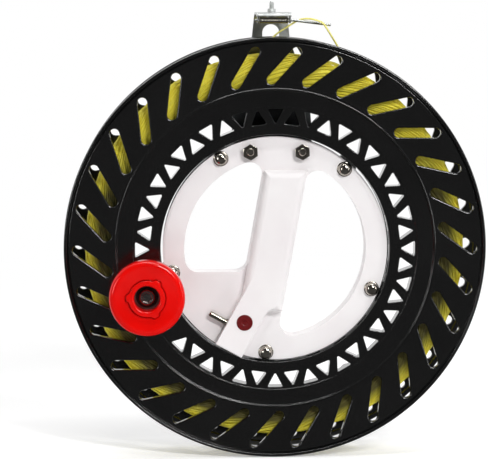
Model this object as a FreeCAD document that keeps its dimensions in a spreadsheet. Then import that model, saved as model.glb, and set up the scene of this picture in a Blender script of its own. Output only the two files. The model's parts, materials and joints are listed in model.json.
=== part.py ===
import FreeCAD, Part

import math
import os
import re

import Sketcher

# A kite line winder: a black spool wheel that turns on five small bearings round a white hub with a hand grip.
# The wheel has a red turning knob, the hub has a sliding lock and a steel line guide that reaches over the rim.
#
# Every piece is drawn in the wheel's own frame, x to the right, y up and z towards the crank side, with z = 0 in
# the middle of the wheel. The placement "standing" then turns it upright, so that the wheel's axis is row axis Y.
# Angles are counted anticlockwise from +x, as seen from the crank side.

Vector = FreeCAD.Vector

SIZES = {
    # wheel
    "rimRadius": 110.0,
    "rimHalf": 15.0,           # half of the wheel's width over both rims
    "beadWidth": 2.5,          # raised bead round each rim
    "beadStand": 0.8,          # how far the bead stands over the slotted face
    "beadBack": 0.6,           # how far the bead reaches behind the flange
    "beadRound": 0.7,
    "flangeWall": 2.8,
    "flangeFall": 0.4,         # the slotted face falls this much from the bead to the ridge
    "bandStep": 0.8,           # plain band below the ridge
    "bandWidth": 9.9,          # plain band between the truss and the ridge
    "raceWall": 5.2,           # race ring, from its bore to the truss
    "raceBack": 4.0,           # back of the race ring, behind the wheel's middle
    "trussWidth": 8.3,
    "trussWall": 2.0,          # wall between the truss and the open inside of the spool
    "trussStep": 0.5,          # truss face below the plain band
    "trussDepth": 8.0,
    "trackGap": 0.05,          # between the track and the bearings that run on it
    "trackSide": 0.3,          # from each side of the track to the bearings
    "slotCount": 30,
    "slotWidth": 5.0,
    "slotInset": 4.2,          # from the ridge to the centre of the slot's inner end
    "slotMargin": 4.1,         # from the bead to the centre of the slot's outer end
    "slotOuterAngle": 83.8,
    "slotSweep": 8.1,
    "triangleCount": 24,
    "triangleCorner": 0.208,   # left between neighbouring triangles' corners
    "triangleMargin": 0.25,    # from each corner row to the truss ring's edges
    "notchCount": 24,
    "notchSide": 0.5,          # room beside the lock bolt in a notch
    "notchEnd": 0.6,           # room beyond the lock bolt's tip
    "notchClear": 0.3,
    "coreWall": 3.0,
    "coreSink": 0.6,           # how far the spool core sits into the front disc
    "coreFit": 0.05,
    "lobeCount": 6,
    "lobeRadius": 3.2,
    "lobeInset": 3.8,          # from the ridge to the middle of a screw lobe
    "lobeLength": 11.0,
    "wheelScrewRadius": 1.45,
    "wheelScrewFit": 0.05,
    "wheelScrewHead": 2.7,
    "wheelScrewHeadHigh": 1.8,
    "wheelScrewLength": 10.0,
    # wound line
    "windingLow": 11.0,        # how far the winding stays below the rim
    "windingFit": 0.1,
    "windingFlat": 3.5,        # half width of the winding's crown
    "windingShare": 0.557,     # how much of the winding's depth has straight sides
    "windingSideGap": 0.3,
    # hub
    "hubRadius": 58.7,
    "hubGap": 1.1,             # between the hub and the race ring's bore
    "hubRing": 11.2,           # hub's rim, from the hand holes to its edge
    "hubFront": 10.0,
    "hubSplit": 2.0,
    "hubBack": 2.0,            # back face, behind the wheel's middle
    "handCorner": 7.0,
    "handFloor": 12.3,         # height of the left hand hole's lower edge, below the axis
    "gripWidth": 22.0,
    "gripShift": 1.8,          # how far the grip's centre line passes left of the axis
    "gripTilt": 10.0,
    "gripStand": 6.0,          # how far the grip stands over the hub's faces
    "gripTopInset": 6.5,       # from the hand holes' circle to the grip's upper end
    "gripFootInset": 14.5,
    "gripRound": 4.0,
    "rearRound": 4.0,
    # hub bearings and their axle screws
    "bearingCount": 5,
    "bearingInset": 3.7,       # from the hub's edge to the bearings' centres
    "bearingAngle": -23.0,
    "bearingBore": 4.0,
    "bearingOutside": 13.0,
    "bearingWidth": 5.0,
    "bearingShoulder": 3.4,
    "bearingShield": 0.3,      # how deep the races' faces lie inside the outer rings' edges
    "bearingEdge": 0.9,
    "bearingPlay": 0.05,
    "bearingSide": 0.4,
    "pocketPlay": 0.7,
    "axlePlay": 0.05,
    "domeRadius": 3.5,
    "domeHigh": 3.4,
    "nutFlats": 7.0,
    "nutHigh": 3.2,
    "axleOverrun": 0.8,
    # lock in the grip's foot
    "bossWall": 4.7,           # boss each side of the lock bolt
    "bossTilt": 29.0,          # from straight down, towards the left
    "bossStart": 28.0,         # from the cap's centre back into the grip
    "bossInner": 4.0,          # round inside corner between the boss and the grip's foot
    "bossRound": 0.8,
    "capInset": 17.2,          # from the hub's edge to the cap's centre
    "capAngle": 247.0,
    "lockShort": 5.6,          # from the hub's edge back to the bolt's tip, unlocked
    "lockEngage": 3.3,         # how far the bolt enters a notch
    "lockLength": 27.0,
    "lockWidth": 6.0,
    "lockThick": 2.2,
    "lockNose": 1.2,
    "lockSink": 2.4,           # the bolt's underside below the hub's face
    "lockClear": 0.3,
    "leverAlong": 4.9,
    "leverRadius": 1.5,
    "leverOut": 10.6,          # how far the lever reaches out of the boss
    "leverRise": 1.9,          # the lever's middle above the hub's face
    "slitOver": 0.7,           # width of the lever's slit in the face beside the boss
    "slitDeep": 1.4,
    "detentRadius": 1.5,
    "detentBore": 1.7,
    "detentClear": 0.04,       # between the ball and the bolt that slides under it
    "dimpleDepth": 0.5,
    "springRadius": 1.3,
    "springWire": 0.35,
    "springTurns": 3,
    "capRadius": 4.2,
    "capHigh": 1.6,
    "capStand": 0.3,
    "capFit": 0.05,
    # line guide
    "guideShift": -1.0,
    "guideWall": 1.2,
    "guideFootWidth": 42.0,
    "guideFootMargin": 5.6,    # from the bolts down to the guide's lower edge
    "guideFootOver": 3.3,      # from the hub's edge to the first bend
    "guideSlope": 9.5,         # height of the slanted stretch
    "guideShoulder": 5.0,      # from the slanted stretch to where the guide narrows
    "guideCorner": 5.5,
    "guideSeat": 3.5,          # pad between the hub's back and the guide
    "guideBehind": 2.0,        # front face of the upright, behind the rear rim
    "guideAhead": 2.4,         # the lip's front face, before the front rim
    "guideOver": 12.6,         # the guide's top above the rims
    "guideRimWidth": 20.4,
    "guideTopWidth": 17.2,
    "guideLip": 2.0,
    "guideBend": 2.5,          # radius of each bend at the middle of the wall
    "guideTopBend": 4.0,
    "guideLipBend": 1.2,
    "windowWidth": 8.9,
    "windowOver": 6.2,         # the window's arch above the rims
    "windowUnder": 13.0,       # the window's sill below the rims
    "guideBoltSpan": 27.0,
    "guideBoltShift": 1.5,     # the bolts' middle, to the right of the guide's
    "guideBoltInset": 8.1,     # from the hub's edge, straight up, down to the bolts
    "guideBoltRadius": 2.0,
    "guideBoltFit": 0.1,
    "guideBoltHead": 3.6,
    "guideBoltHeadHigh": 2.6,
    "guideNutFlats": 7.3,
    "guideNutHigh": 3.0,
    "guideBoltOverrun": 0.9,
    "boltPoint": 0.4,
    "holderWall": 0.8,
    "holderLength": 15.0,
    "holderBack": 2.4,         # from the lip's front face back to the holder
    "holderEarLength": 5.6,
    "holderEarEdge": 0.8,
    "holderEarCorner": 1.0,
    "rollerRadius": 1.7,
    "rollerGap": 0.3,          # between the roller and the holder over it
    "rollerInset": 2.6,
    "rollerPlay": 0.35,
    "grooveCount": 10,
    "grooveDepth": 0.35,
    "wireRadius": 0.7,
    "wireEnd": 1.2,            # the wire's end beyond the holder's left ear
    "wireStraight": 1.6,       # from the right ear to where the wire bends
    "wireReach": 18.4,         # from there to the wire's end
    "wireDroop": 7.0,
    "wireBend": 3.0,
    "guideScrewAcross": -1.8,
    "guideScrewForward": 5.0,
    "guideScrewRadius": 1.2,
    "guideScrewHead": 2.3,
    "guideScrewHeadHigh": 1.3,
    "guideScrewOver": 5.7,
    "guideScrewNutFlats": 3.8,
    "guideScrewNutHigh": 2.0,
    # turning knob
    "knobInset": 5.2,          # from the truss ring's inner edge to the knob's axis
    "knobAngle": 198.0,
    "knobBossRadius": 8.0,
    "knobBossStand": 1.6,      # the knob's pad above the plain band
    "knobGap": 3.4,            # from the pad to the knob
    "knobRadius": 19.4,
    "knobFoot": 14.0,
    "knobHigh": 22.0,
    "knobNeck": 9.0,           # height of the narrow foot
    "knobRound": 3.0,
    "knobDish": 0.8,
    "knobDishEdge": 3.5,
    "knobRingClear": 0.1,
    "knobBearingRecess": 8.6,  # top of the front bearing, below the knob's face
    "knobRearRecess": 0.5,
    "knobShoulder": 5.6,
    "knobHeadRadius": 4.0,
    "knobHeadHigh": 4.0,
    "knobSocket": 2.5,
    "knobSocketDeep": 2.2,
    "knobWasherRadius": 3.3,
    "knobWasherFlange": 4.3,
    "knobSleeveRadius": 3.0,
    "knobNutFlats": 7.0,
    "knobNutHigh": 3.2,
    "earRingRadius": 9.3,
    "earRingStand": 1.2,
    "earRingDeep": 1.6,
    "earRingEdge": 0.5,
    "earCount": 3,
    "earReach": 10.8,
    "earWidth": 5.0,
    "earFit": 0.05,
    "earTurn": 57.0,
    # free line
    "lineRadius": 0.5,
}

# Sizes that follow from the ones above, each as a formula.
FOLLOWING = {
    # radii, from the hub outwards
    "handRadius": "hubRadius - hubRing",
    "gripTop": "handRadius - gripTopInset",
    "gripFoot": "handRadius - gripFootInset",
    "bearingCircle": "hubRadius - bearingInset",
    "lipRadius": "hubRadius + hubGap",
    "trackRadius": "bearingCircle + bearingOutside / 2 + trackGap",
    "trackHalf": "bearingWidth / 2 + trackSide",
    "trussInner": "lipRadius + raceWall",
    "trussOuter": "trussInner + trussWidth",
    "bandRadius": "trussOuter + bandWidth",
    "slotInnerRadius": "bandRadius + slotInset",
    "beadFoot": "rimRadius - beadWidth",
    "slotOuterRadius": "beadFoot - slotMargin",
    "triangleBase": "pi * trussInner / triangleCount - triangleCorner",
    "lobeCircle": "bandRadius - lobeInset",
    "windingRadius": "rimRadius - windingLow",
    "windingShoulder": "bandRadius + (windingRadius - bandRadius) * windingShare",
    "windingCurve": "(windingRadius - windingShoulder) * 0.286",
    # depths of the front disc's faces; the rear disc has them with the other sign
    "flangeFront": "rimHalf - beadStand",
    "ridgeFront": "flangeFront - flangeFall",
    "bandFront": "ridgeFront - bandStep",
    "flangeBack": "flangeFront - flangeWall - flangeFall",
    "trussFront": "bandFront - trussStep",
    "trussBack": "trussFront - trussDepth",
    # lock
    "capCircle": "hubRadius - capInset",
    "bossAcross": "capCircle * cos(capAngle)",
    "bossAlong": "capCircle * sin(capAngle)",
    "bossWidth": "lockWidth + 2 * bossWall",
    "lockTip": "capInset - lockShort",
    "lockTravel": "lockShort + hubGap + lockEngage",
    "lockFloor": "hubFront - lockSink",
    "lockTop": "lockFloor + lockThick",
    "leverLift": "hubFront + leverRise",
    "leverReach": "bossWidth / 2 + leverOut",
    "notchWidth": "lockWidth + 2 * notchSide",
    "notchDepth": "lockEngage + notchEnd",
    "notchFloor": "lipRadius + notchDepth",
    # the angle at which the bolt's centre line, which passes beside the wheel's centre, reaches the notches
    "notchAngle": "270 - bossTilt + asin(capCircle * sin(capAngle - 270 + bossTilt) / (lipRadius + notchDepth / 2)) / 1 deg",
    # line guide
    "guideBoltHeight": "hubRadius - guideBoltInset",
    "guideFootLow": "guideBoltHeight - guideFootMargin",
    "guideFootBend": "hubRadius + guideFootOver",
    "guideRise": "guideFootBend + guideSlope",
    "guideBack": "rimHalf + guideBehind",
    "guideFront": "rimHalf + guideAhead",
    "guideTop": "rimRadius + guideOver",
    "guideUnder": "guideTop - guideWall",
    "windowTop": "rimRadius + windowOver",
    "windowLow": "rimRadius - windowUnder",
    "holderFront": "guideFront - holderBack",
    "rollerHeight": "guideUnder - holderWall - rollerGap - rollerRadius",
    "rollerForward": "holderFront - rollerInset",
    "rollerBore": "wireRadius + bearingPlay",
    "holderEarLow": "rollerHeight - wireRadius - holderEarEdge",
    "guideScrewTop": "guideTop + guideScrewOver",
    # knob
    "knobCircle": "trussInner + knobInset",
    "knobAcross": "knobCircle * cos(knobAngle)",
    "knobAlong": "knobCircle * sin(knobAngle)",
    "knobBossTop": "bandFront + knobBossStand",
    "knobLow": "knobBossTop + knobGap",
    "knobTop": "knobLow + knobHigh",
    "knobFace": "knobTop - knobDish",
    "knobWaist": "knobLow + knobNeck",
    "knobBore": "bearingOutside / 2 + knobRingClear",
    "knobBoltRadius": "bearingBore / 2 - axlePlay",
    "frontBearing": "knobTop - knobBearingRecess - bearingWidth",
    "rearBearing": "knobLow + knobRearRecess",
}

doc = FreeCAD.newDocument("KiteLineWinder")
sheet = doc.addObject("Spreadsheet::Sheet", "Sizes")
for row, (alias, number) in enumerate(SIZES.items(), 1):
    sheet.set("A%d" % row, alias)
    sheet.set("B%d" % row, str(number))
    sheet.setAlias("B%d" % row, alias)
doc.recompute()

standing = FreeCAD.Placement(Vector(0, 0, 0), FreeCAD.Rotation(Vector(1, 0, 0), 90))
made = []


NAME = re.compile(r"[A-Za-z]\w*")


def spelled(words):
    """A formula with every size that follows from others written out, down to the sheet's own cells."""
    while any(name in FOLLOWING for name in NAME.findall(words)):
        words = NAME.sub(lambda m: "(%s)" % FOLLOWING[m.group()] if m.group() in FOLLOWING else m.group(), words)
    return words


def size(words):
    """The number that a formula of the sizes' names comes to."""
    return float(sheet.evalExpression(spelled(words)))


def linked(words):
    """The same formula as other objects write it, with the sheet's name before each of its cells."""
    return NAME.sub(lambda m: "Sizes." + m.group() if m.group() in SIZES else m.group(), spelled(words))


def newBody(label, turn=0.0, shift=(0.0, 0.0, 0.0)):
    body = doc.addObject("PartDesign::Body", label)
    body.Label = label
    body.Placement = standing.multiply(
        FreeCAD.Placement(Vector(*shift), FreeCAD.Rotation(Vector(0, 0, 1), turn)))
    made.append(body)
    return body


def originFeature(body, role):
    return next(feature for feature in body.Origin.OriginFeatures if feature.Role == role)


def newSketch(body, role="XY_Plane", across="0", lift="0"):
    """A sketch on one of the body's origin planes, moved along its own first axis and along its normal."""
    sketch = body.newObject("Sketcher::SketchObject", body.Label + "Sketch")
    sketch.AttachmentSupport = (originFeature(body, role), [""])
    sketch.MapMode = "FlatFace"
    sketch.AttachmentOffset = FreeCAD.Placement(Vector(size(across), 0, size(lift)), FreeCAD.Rotation())
    sketch.setExpression("AttachmentOffset.Base.x", linked(across))
    sketch.setExpression("AttachmentOffset.Base.z", linked(lift))
    return sketch


def hold(sketch, shape, point, across, along):
    """Holds a point of a sketch at its distances from the sketch's origin."""
    for axis, kind, words in ((-2, "DistanceX", across), (-1, "DistanceY", along)):
        distance = size(words)
        if abs(distance) < 1e-7:
            sketch.addConstraint(Sketcher.Constraint("PointOnObject", shape, point, axis))
            continue
        ends = (-1, 1, shape, point) if distance > 0 else (shape, point, -1, 1)
        number = sketch.addConstraint(Sketcher.Constraint(kind, *ends, abs(distance)))
        sketch.setExpression("Constraints[%d]" % number, "abs(%s)" % linked(words))


def drawPolygon(sketch, corners):
    """Straight edges through corners that are given as formulas."""
    points = [Vector(size(across), size(along), 0) for across, along in corners]
    first = sketch.GeometryCount
    count = len(points)
    for index, point in enumerate(points):
        sketch.addGeometry(Part.LineSegment(point, points[(index + 1) % count]))
    for index in range(count):
        nextEdge = first + (index + 1) % count
        sketch.addConstraint(Sketcher.Constraint("Coincident", first + index, 2, nextEdge, 1))
    for index, (across, along) in enumerate(corners):
        hold(sketch, first + index, 1, across, along)


def drawCircle(sketch, radius, across="0", along="0"):
    centre = Vector(size(across), size(along), 0)
    circle = sketch.addGeometry(Part.Circle(centre, Vector(0, 0, 1), size(radius)))
    if abs(centre.x) < 1e-7 and abs(centre.y) < 1e-7:
        sketch.addConstraint(Sketcher.Constraint("Coincident", circle, 3, -1, 1))
    else:
        hold(sketch, circle, 3, across, along)
    number = sketch.addConstraint(Sketcher.Constraint("Radius", circle, size(radius)))
    sketch.setExpression("Constraints[%d]" % number, linked(radius))


def drawHexagon(sketch, flats, across="0", along="0"):
    corners = []
    for side in range(6):
        angle = 60 * side + 30
        reach = "(%s) / (2 * cos(30))" % flats
        corners.append(("(%s) + %s * cos(%d)" % (across, reach, angle), "(%s) + %s * sin(%d)" % (along, reach, angle)))
    drawPolygon(sketch, corners)


def turned(body, corners, across="0"):
    """A solid of revolution about the line x = across, from corners given as (radius, z)."""
    sketch = newSketch(body, "XZ_Plane", across)
    drawPolygon(sketch, corners)
    solid = body.newObject("PartDesign::Revolution", body.Label + "Turned")
    solid.Profile = sketch
    solid.ReferenceAxis = (sketch, ["V_Axis"])
    solid.Angle = 360
    body.Tip = solid
    return solid


def padded(body, sketch, length):
    """Raises a sketch towards the crank side."""
    pad = body.newObject("PartDesign::Pad", body.Label + "Pad")
    pad.Profile = sketch
    pad.Length = size(length)
    pad.setExpression("Length", linked(length))
    body.Tip = pad
    return pad


def pocketed(body, sketch, length):
    """Cuts from a sketch away from the crank side."""
    doc.recompute()
    before = body.Shape.Volume
    pocket = body.newObject("PartDesign::Pocket", body.Label + "Pocket")
    pocket.Profile = sketch
    pocket.Length = size(length)
    pocket.setExpression("Length", linked(length))
    body.Tip = pocket
    doc.recompute()
    if body.Shape.Volume > before - 1e-6:
        raise RuntimeError("%s: a pocket cut nothing" % body.Label)
    return pocket


def repeated(body, feature, count, angle="360"):
    """The feature again, spread evenly about the body's z axis."""
    pattern = body.newObject("PartDesign::PolarPattern", body.Label + "Pattern")
    pattern.Originals = [feature]
    pattern.Axis = (originFeature(body, "Z_Axis"), [""])
    pattern.Angle = size(angle)
    pattern.Occurrences = int(size(count))
    pattern.setExpression("Angle", linked(angle))
    pattern.setExpression("Occurrences", linked(count))
    body.Tip = pattern
    return pattern


def rounded(body, radius, wanted, kind="PartDesign::Fillet"):
    """Fillets or chamfers the edges of the body's tip that the test wanted(edge) picks."""
    doc.recompute()
    base = body.Tip
    names = ["Edge%d" % (index + 1) for index, edge in enumerate(base.Shape.Edges) if wanted(edge)]
    if not names:
        raise RuntimeError("%s: no edge to round" % body.Label)
    feature = body.newObject(kind, body.Label + "Round")
    feature.Base = (base, names)
    cell = "Radius" if kind.endswith("Fillet") else "Size"
    setattr(feature, cell, size(radius))
    feature.setExpression(cell, linked(radius))
    body.Tip = feature
    doc.recompute()
    return feature


def middle(edge):
    return edge.valueAt((edge.FirstParameter + edge.LastParameter) / 2)


def upright(edge):
    """Whether an edge is straight and runs along z."""
    if edge.Curve.TypeId != "Part::GeomLine":
        return False
    return abs(edge.tangentAt(edge.FirstParameter).z) > 0.999


# ---------------------------------------------------------------- wheel

def slotCorners(hand):
    """Centres of a slot's inner and outer ends; hand is 1 or -1 for the two ways a slot can slant."""
    inner = "(90 + %d * (slotOuterAngle + slotSweep - 90))" % hand
    outer = "(90 + %d * (slotOuterAngle - 90))" % hand
    return (("slotInnerRadius * cos%s" % inner, "slotInnerRadius * sin%s" % inner),
            ("slotOuterRadius * cos%s" % outer, "slotOuterRadius * sin%s" % outer))


def cutSlots(body, hand, top, depth):
    """The row of slanted slots with rounded ends through a flange."""
    sketch = newSketch(body, lift=top)
    start, end = [Vector(size(across), size(along), 0) for across, along in slotCorners(hand)]
    along = (end - start).normalize()
    side = Vector(-along.y, along.x, 0) * (size("slotWidth") / 2)
    reach = along * (size("slotWidth") / 2)
    sketch.addGeometry(Part.LineSegment(start + side, end + side))
    sketch.addGeometry(Part.Arc(end + side, end + reach, end - side))
    sketch.addGeometry(Part.LineSegment(end - side, start - side))
    sketch.addGeometry(Part.Arc(start - side, start - reach, start + side))
    joins = [(0, 2, 1), (1, 1, 2), (2, 2, 3), (3, 1, 0)]
    points = [(0, 1), (0, 2), (1, 1), (1, 2), (2, 1), (2, 2), (3, 1), (3, 2)]
    places = {end_: sketch.getPoint(*end_) for end_ in points}
    for index, first in enumerate(points):
        for second in points[index + 1:]:
            if first[0] != second[0] and (places[first] - places[second]).Length < 1e-6:
                sketch.addConstraint(Sketcher.Constraint("Coincident", *first, *second))
    number = sketch.addConstraint(Sketcher.Constraint("Radius", 1, size("slotWidth / 2")))
    sketch.setExpression("Constraints[%d]" % number, linked("slotWidth / 2"))
    cut = pocketed(body, sketch, depth)
    repeated(body, cut, "slotCount")


def cutTriangles(body, first, count, spread, pointsOut):
    """One of the two rows of triangles; between them they leave a truss of slanted bars."""
    sketch = newSketch(body, lift="bandFront")
    near = "(trussInner + triangleMargin)"
    far = "(trussOuter - triangleMargin)"
    base, apex = (near, far) if pointsOut else (far, near)
    corners = [("%s * cos(%s)" % (apex, first), "%s * sin(%s)" % (apex, first))]
    for side in (-1, 1):
        corners.append(("%s * cos(%s) - %d * triangleBase / 2 * sin(%s)" % (base, first, side, first),
                        "%s * sin(%s) + %d * triangleBase / 2 * cos(%s)" % (base, first, side, first)))
    drawPolygon(sketch, corners)
    cut = pocketed(body, sketch, "trussDepth + trussStep + 0.1")
    repeated(body, cut, count, spread)


def rimSection(back):
    """Corners of a disc's rim from the ridge's face round to the back of the flange; back is 1, or -1 for the rear disc."""
    corners = [
        ("bandRadius", "ridgeFront"),
        ("beadFoot", "flangeFront"),
        ("beadFoot + flangeFall", "rimHalf"),
        ("rimRadius - beadRound", "rimHalf"),
        ("rimRadius", "rimHalf - beadRound"),
        ("rimRadius", "flangeBack - beadBack + beadRound"),
        ("rimRadius - beadRound", "flangeBack - beadBack"),
        ("beadFoot", "flangeBack - beadBack"),
        ("beadFoot - beadBack", "flangeBack"),
    ]
    return [(out, "%d * (%s)" % (back, depth)) for out, depth in corners]


def makeFrontDisc():
    body = newBody("front_disc")
    turned(body, [
        ("lipRadius", "trussFront"),
        ("trussOuter", "trussFront"),
        ("trussOuter", "bandFront"),
        ("bandRadius", "bandFront"),
    ] + rimSection(1) + [
        ("bandRadius + coreFit", "flangeBack"),
        ("bandRadius + coreFit", "flangeBack + coreSink"),
        ("bandRadius - coreWall - coreFit", "flangeBack + coreSink"),
        ("bandRadius - coreWall - coreFit", "flangeBack"),
        ("trussOuter + trussWall", "flangeBack"),
        ("trussOuter + trussWall", "trussBack"),
        ("trussInner", "trussBack"),
        ("trussInner", "-raceBack"),
        ("lipRadius", "-raceBack"),
        ("lipRadius", "hubSplit - trackHalf"),
        ("trackRadius", "hubSplit - trackHalf"),
        ("trackRadius", "hubSplit + trackHalf"),
        ("lipRadius", "hubSplit + trackHalf"),
    ])
    boss = newSketch(body, lift="trussBack")
    drawCircle(boss, "knobBossRadius", "knobAcross", "knobAlong")
    padded(body, boss, "knobBossTop - trussBack")
    cutSlots(body, 1, "rimHalf", "rimHalf - flangeBack + 0.1")
    # the truss leaves a closed sector where the knob is bolted
    cutTriangles(body, "225", "triangleCount - 2", "(triangleCount - 3) * 360 / triangleCount", False)
    cutTriangles(body, "225 + 180 / triangleCount", "triangleCount - 3", "(triangleCount - 4) * 360 / triangleCount",
                 True)
    notch = newSketch(body, lift="lockTop + notchClear")
    corners = []
    for reach, side in (("lipRadius - 1", -1), ("notchFloor", -1), ("notchFloor", 1), ("lipRadius - 1", 1)):
        corners.append(("(%s) * cos(notchAngle) - %d * notchWidth / 2 * sin(notchAngle)" % (reach, side),
                        "(%s) * sin(notchAngle) + %d * notchWidth / 2 * cos(notchAngle)" % (reach, side)))
    drawPolygon(notch, corners)
    cut = pocketed(body, notch, "lockThick + 2 * notchClear")
    repeated(body, cut, "notchCount")
    bore = newSketch(body, lift="knobBossTop")
    drawCircle(bore, "bearingBore / 2", "knobAcross", "knobAlong")
    pocketed(body, bore, "knobBossTop - trussBack + 1")
    return body


def makeRearDisc():
    body = newBody("rear_disc")
    turned(body, [
        ("bandRadius - coreWall", "-bandFront"),
        ("bandRadius", "-bandFront"),
    ] + rimSection(-1) + [
        ("bandRadius - coreWall", "-flangeBack"),
    ])
    lobe = newSketch(body, lift="-bandFront")
    drawCircle(lobe, "lobeRadius", "lobeCircle")
    ear = padded(body, lobe, "bandFront - flangeBack")
    repeated(body, ear, "lobeCount")
    cutSlots(body, -1, "1 - flangeBack", "rimHalf - flangeBack + 2")
    hole = newSketch(body, lift="-flangeBack")
    drawCircle(hole, "wheelScrewRadius + wheelScrewFit", "lobeCircle")
    cut = pocketed(body, hole, "rimHalf")
    repeated(body, cut, "lobeCount")
    return body


def makeSpoolCore():
    body = newBody("spool_core")
    turned(body, [
        ("bandRadius - coreWall", "-flangeBack"),
        ("bandRadius", "-flangeBack"),
        ("bandRadius", "flangeBack + coreSink"),
        ("bandRadius - coreWall", "flangeBack + coreSink"),
    ])
    lobe = newSketch(body, lift="-flangeBack")
    drawCircle(lobe, "lobeRadius", "lobeCircle")
    ear = padded(body, lobe, "lobeLength")
    repeated(body, ear, "lobeCount")
    hole = newSketch(body, lift="lobeLength - flangeBack - 1")
    drawCircle(hole, "wheelScrewRadius + wheelScrewFit", "lobeCircle")
    cut = pocketed(body, hole, "lobeLength + 1")
    repeated(body, cut, "lobeCount")
    return body


def makeWheelScrews():
    body = newBody("wheel_screws")
    screw = turned(body, [
        ("0", "-bandFront - wheelScrewHeadHigh"),
        ("wheelScrewHead * 0.7", "-bandFront - wheelScrewHeadHigh"),
        ("wheelScrewHead", "-bandFront - wheelScrewHeadHigh / 2"),
        ("wheelScrewHead", "-bandFront"),
        ("wheelScrewRadius", "-bandFront"),
        ("wheelScrewRadius", "wheelScrewLength - bandFront"),
        ("0", "wheelScrewLength - bandFront"),
    ], "lobeCircle")
    repeated(body, screw, "lobeCount")
    return body


def makeWinding():
    body = newBody("line_winding")
    side = "(flangeBack - windingSideGap)"
    half = "(%s + windingFlat) / 2" % side
    turned(body, [
        ("bandRadius + windingFit", "-" + side),
        ("windingShoulder", "-" + side),
        ("windingRadius - windingCurve", "-" + half),
        ("windingRadius", "-windingFlat"),
        ("windingRadius", "windingFlat"),
        ("windingRadius - windingCurve", half),
        ("windingShoulder", side),
        ("bandRadius + windingFit", side),
    ])
    return body


# ---------------------------------------------------------------- hub

def gripEdge(side, height):
    """Where the grip's left (-1) or right (1) edge passes a height, as a formula."""
    return "(-gripShift + (%s) * tan(gripTilt) + %d * gripWidth / (2 * cos(gripTilt)))" % (height, side)


def alongBoss(along, across):
    """A point in the lock boss's own directions, as a pair of formulas: along it to the rim, across it to the left."""
    return ("bossAcross - (%s) * sin(bossTilt) - (%s) * cos(bossTilt)" % (along, across),
            "bossAlong - (%s) * cos(bossTilt) + (%s) * sin(bossTilt)" % (along, across))


def gripMeetsRing(side, sign):
    """Point where a grip edge crosses the hand holes' outer circle, above (1) or below (-1) the axis."""
    slope = "tan(gripTilt)"
    start = gripEdge(side, "0")
    a = "(1 + %s^2)" % slope
    root = "sqrt(%s * handRadius^2 - %s^2)" % (a, start)
    height = "((-%s * %s + %d * %s) / %s)" % (slope, start, sign, root, a)
    return (gripEdge(side, height), height)


def drawRegion(sketch, start, end, through, corners):
    """A closed outline: an arc on the hand holes' circle from start to end, then straight edges by the corners."""
    arc = sketch.addGeometry(Part.Arc(*[Vector(size(x), size(y), 0) for x, y in (start, through, end)]))
    points = [end] + corners + [start]
    for index in range(len(points) - 1):
        first, second = [Vector(size(x), size(y), 0) for x, y in points[index:index + 2]]
        sketch.addGeometry(Part.LineSegment(first, second))
    last = arc + len(points) - 1
    for index in range(arc + 1, last):
        sketch.addConstraint(Sketcher.Constraint("Coincident", index, 2, index + 1, 1))
    hold(sketch, arc + 1, 1, *end)
    hold(sketch, last, 2, *start)
    for index, corner in enumerate(corners):
        hold(sketch, arc + 1 + index, 2, *corner)
    for point, place in (((arc + 1, 1), end), ((last, 2), start)):
        target = Vector(size(place[0]), size(place[1]), 0)
        tip = 1 if (sketch.getPoint(arc, 1) - target).Length < 1e-6 else 2
        sketch.addConstraint(Sketcher.Constraint("Coincident", arc, tip, *point))


def cutHandHoles(body, top, depth):
    """The two openings for the hand, one each side of the grip, with rounded corners."""
    left = newSketch(body, lift=top)
    upper = gripMeetsRing(-1, 1)
    lower = ("-sqrt(handRadius^2 - handFloor^2)", "-handFloor")
    drawRegion(left, upper, lower, ("handRadius * cos(150)", "handRadius * sin(150)"),
               [(gripEdge(-1, "-handFloor"), "-handFloor")])
    pocketed(body, left, depth)
    right = newSketch(body, lift=top)
    drawRegion(right, gripMeetsRing(1, -1), gripMeetsRing(1, 1), ("handRadius", "0"), [])
    pocketed(body, right, depth)
    reach = size("handRadius") + 1
    rounded(body, "handCorner", lambda edge: upright(edge) and middle(edge).Length < reach)


def drawGrip(sketch):
    """The grip's tilted bar as seen from the front."""
    drawPolygon(sketch, [
        (gripEdge(1, "gripTop"), "gripTop"),
        (gripEdge(-1, "gripTop"), "gripTop"),
        (gripEdge(-1, "-gripFoot"), "-gripFoot"),
        (gripEdge(1, "-gripFoot"), "-gripFoot"),
    ])


def bearingPockets(body, floor, mouth):
    """The bearings' pockets, open at the hub's edge, with a land for the inner race, and their axle holes."""
    centre = ("bearingCircle * cos(bearingAngle)", "bearingCircle * sin(bearingAngle)")
    deeper = size(floor) > size(mouth)
    room = newSketch(body, lift=floor if deeper else mouth)
    drawCircle(room, "bearingOutside / 2 + pocketPlay", *centre)
    cut = pocketed(body, room, "abs(%s - %s)" % (floor, mouth))
    repeated(body, cut, "bearingCount")
    groove = newSketch(body, lift=floor + (" + bearingSide" if deeper else ""))
    drawCircle(groove, "bearingOutside / 2 + pocketPlay", *centre)
    drawCircle(groove, "bearingShoulder", *centre)
    cut = pocketed(body, groove, "bearingSide")
    repeated(body, cut, "bearingCount")
    hole = newSketch(body, lift="hubFront + 1")
    drawCircle(hole, "bearingBore / 2", *centre)
    cut = pocketed(body, hole, "hubFront + hubBack + 2")
    repeated(body, cut, "bearingCount")


def boltHoles(body):
    sketch = newSketch(body, lift="hubFront + 1")
    for side in (-1, 1):
        drawCircle(sketch, "guideBoltRadius + guideBoltFit", "guideShift + guideBoltShift + %d * guideBoltSpan / 2" % side,
                   "guideBoltHeight")
    pocketed(body, sketch, "hubFront + hubBack + guideSeat + 3")


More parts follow.
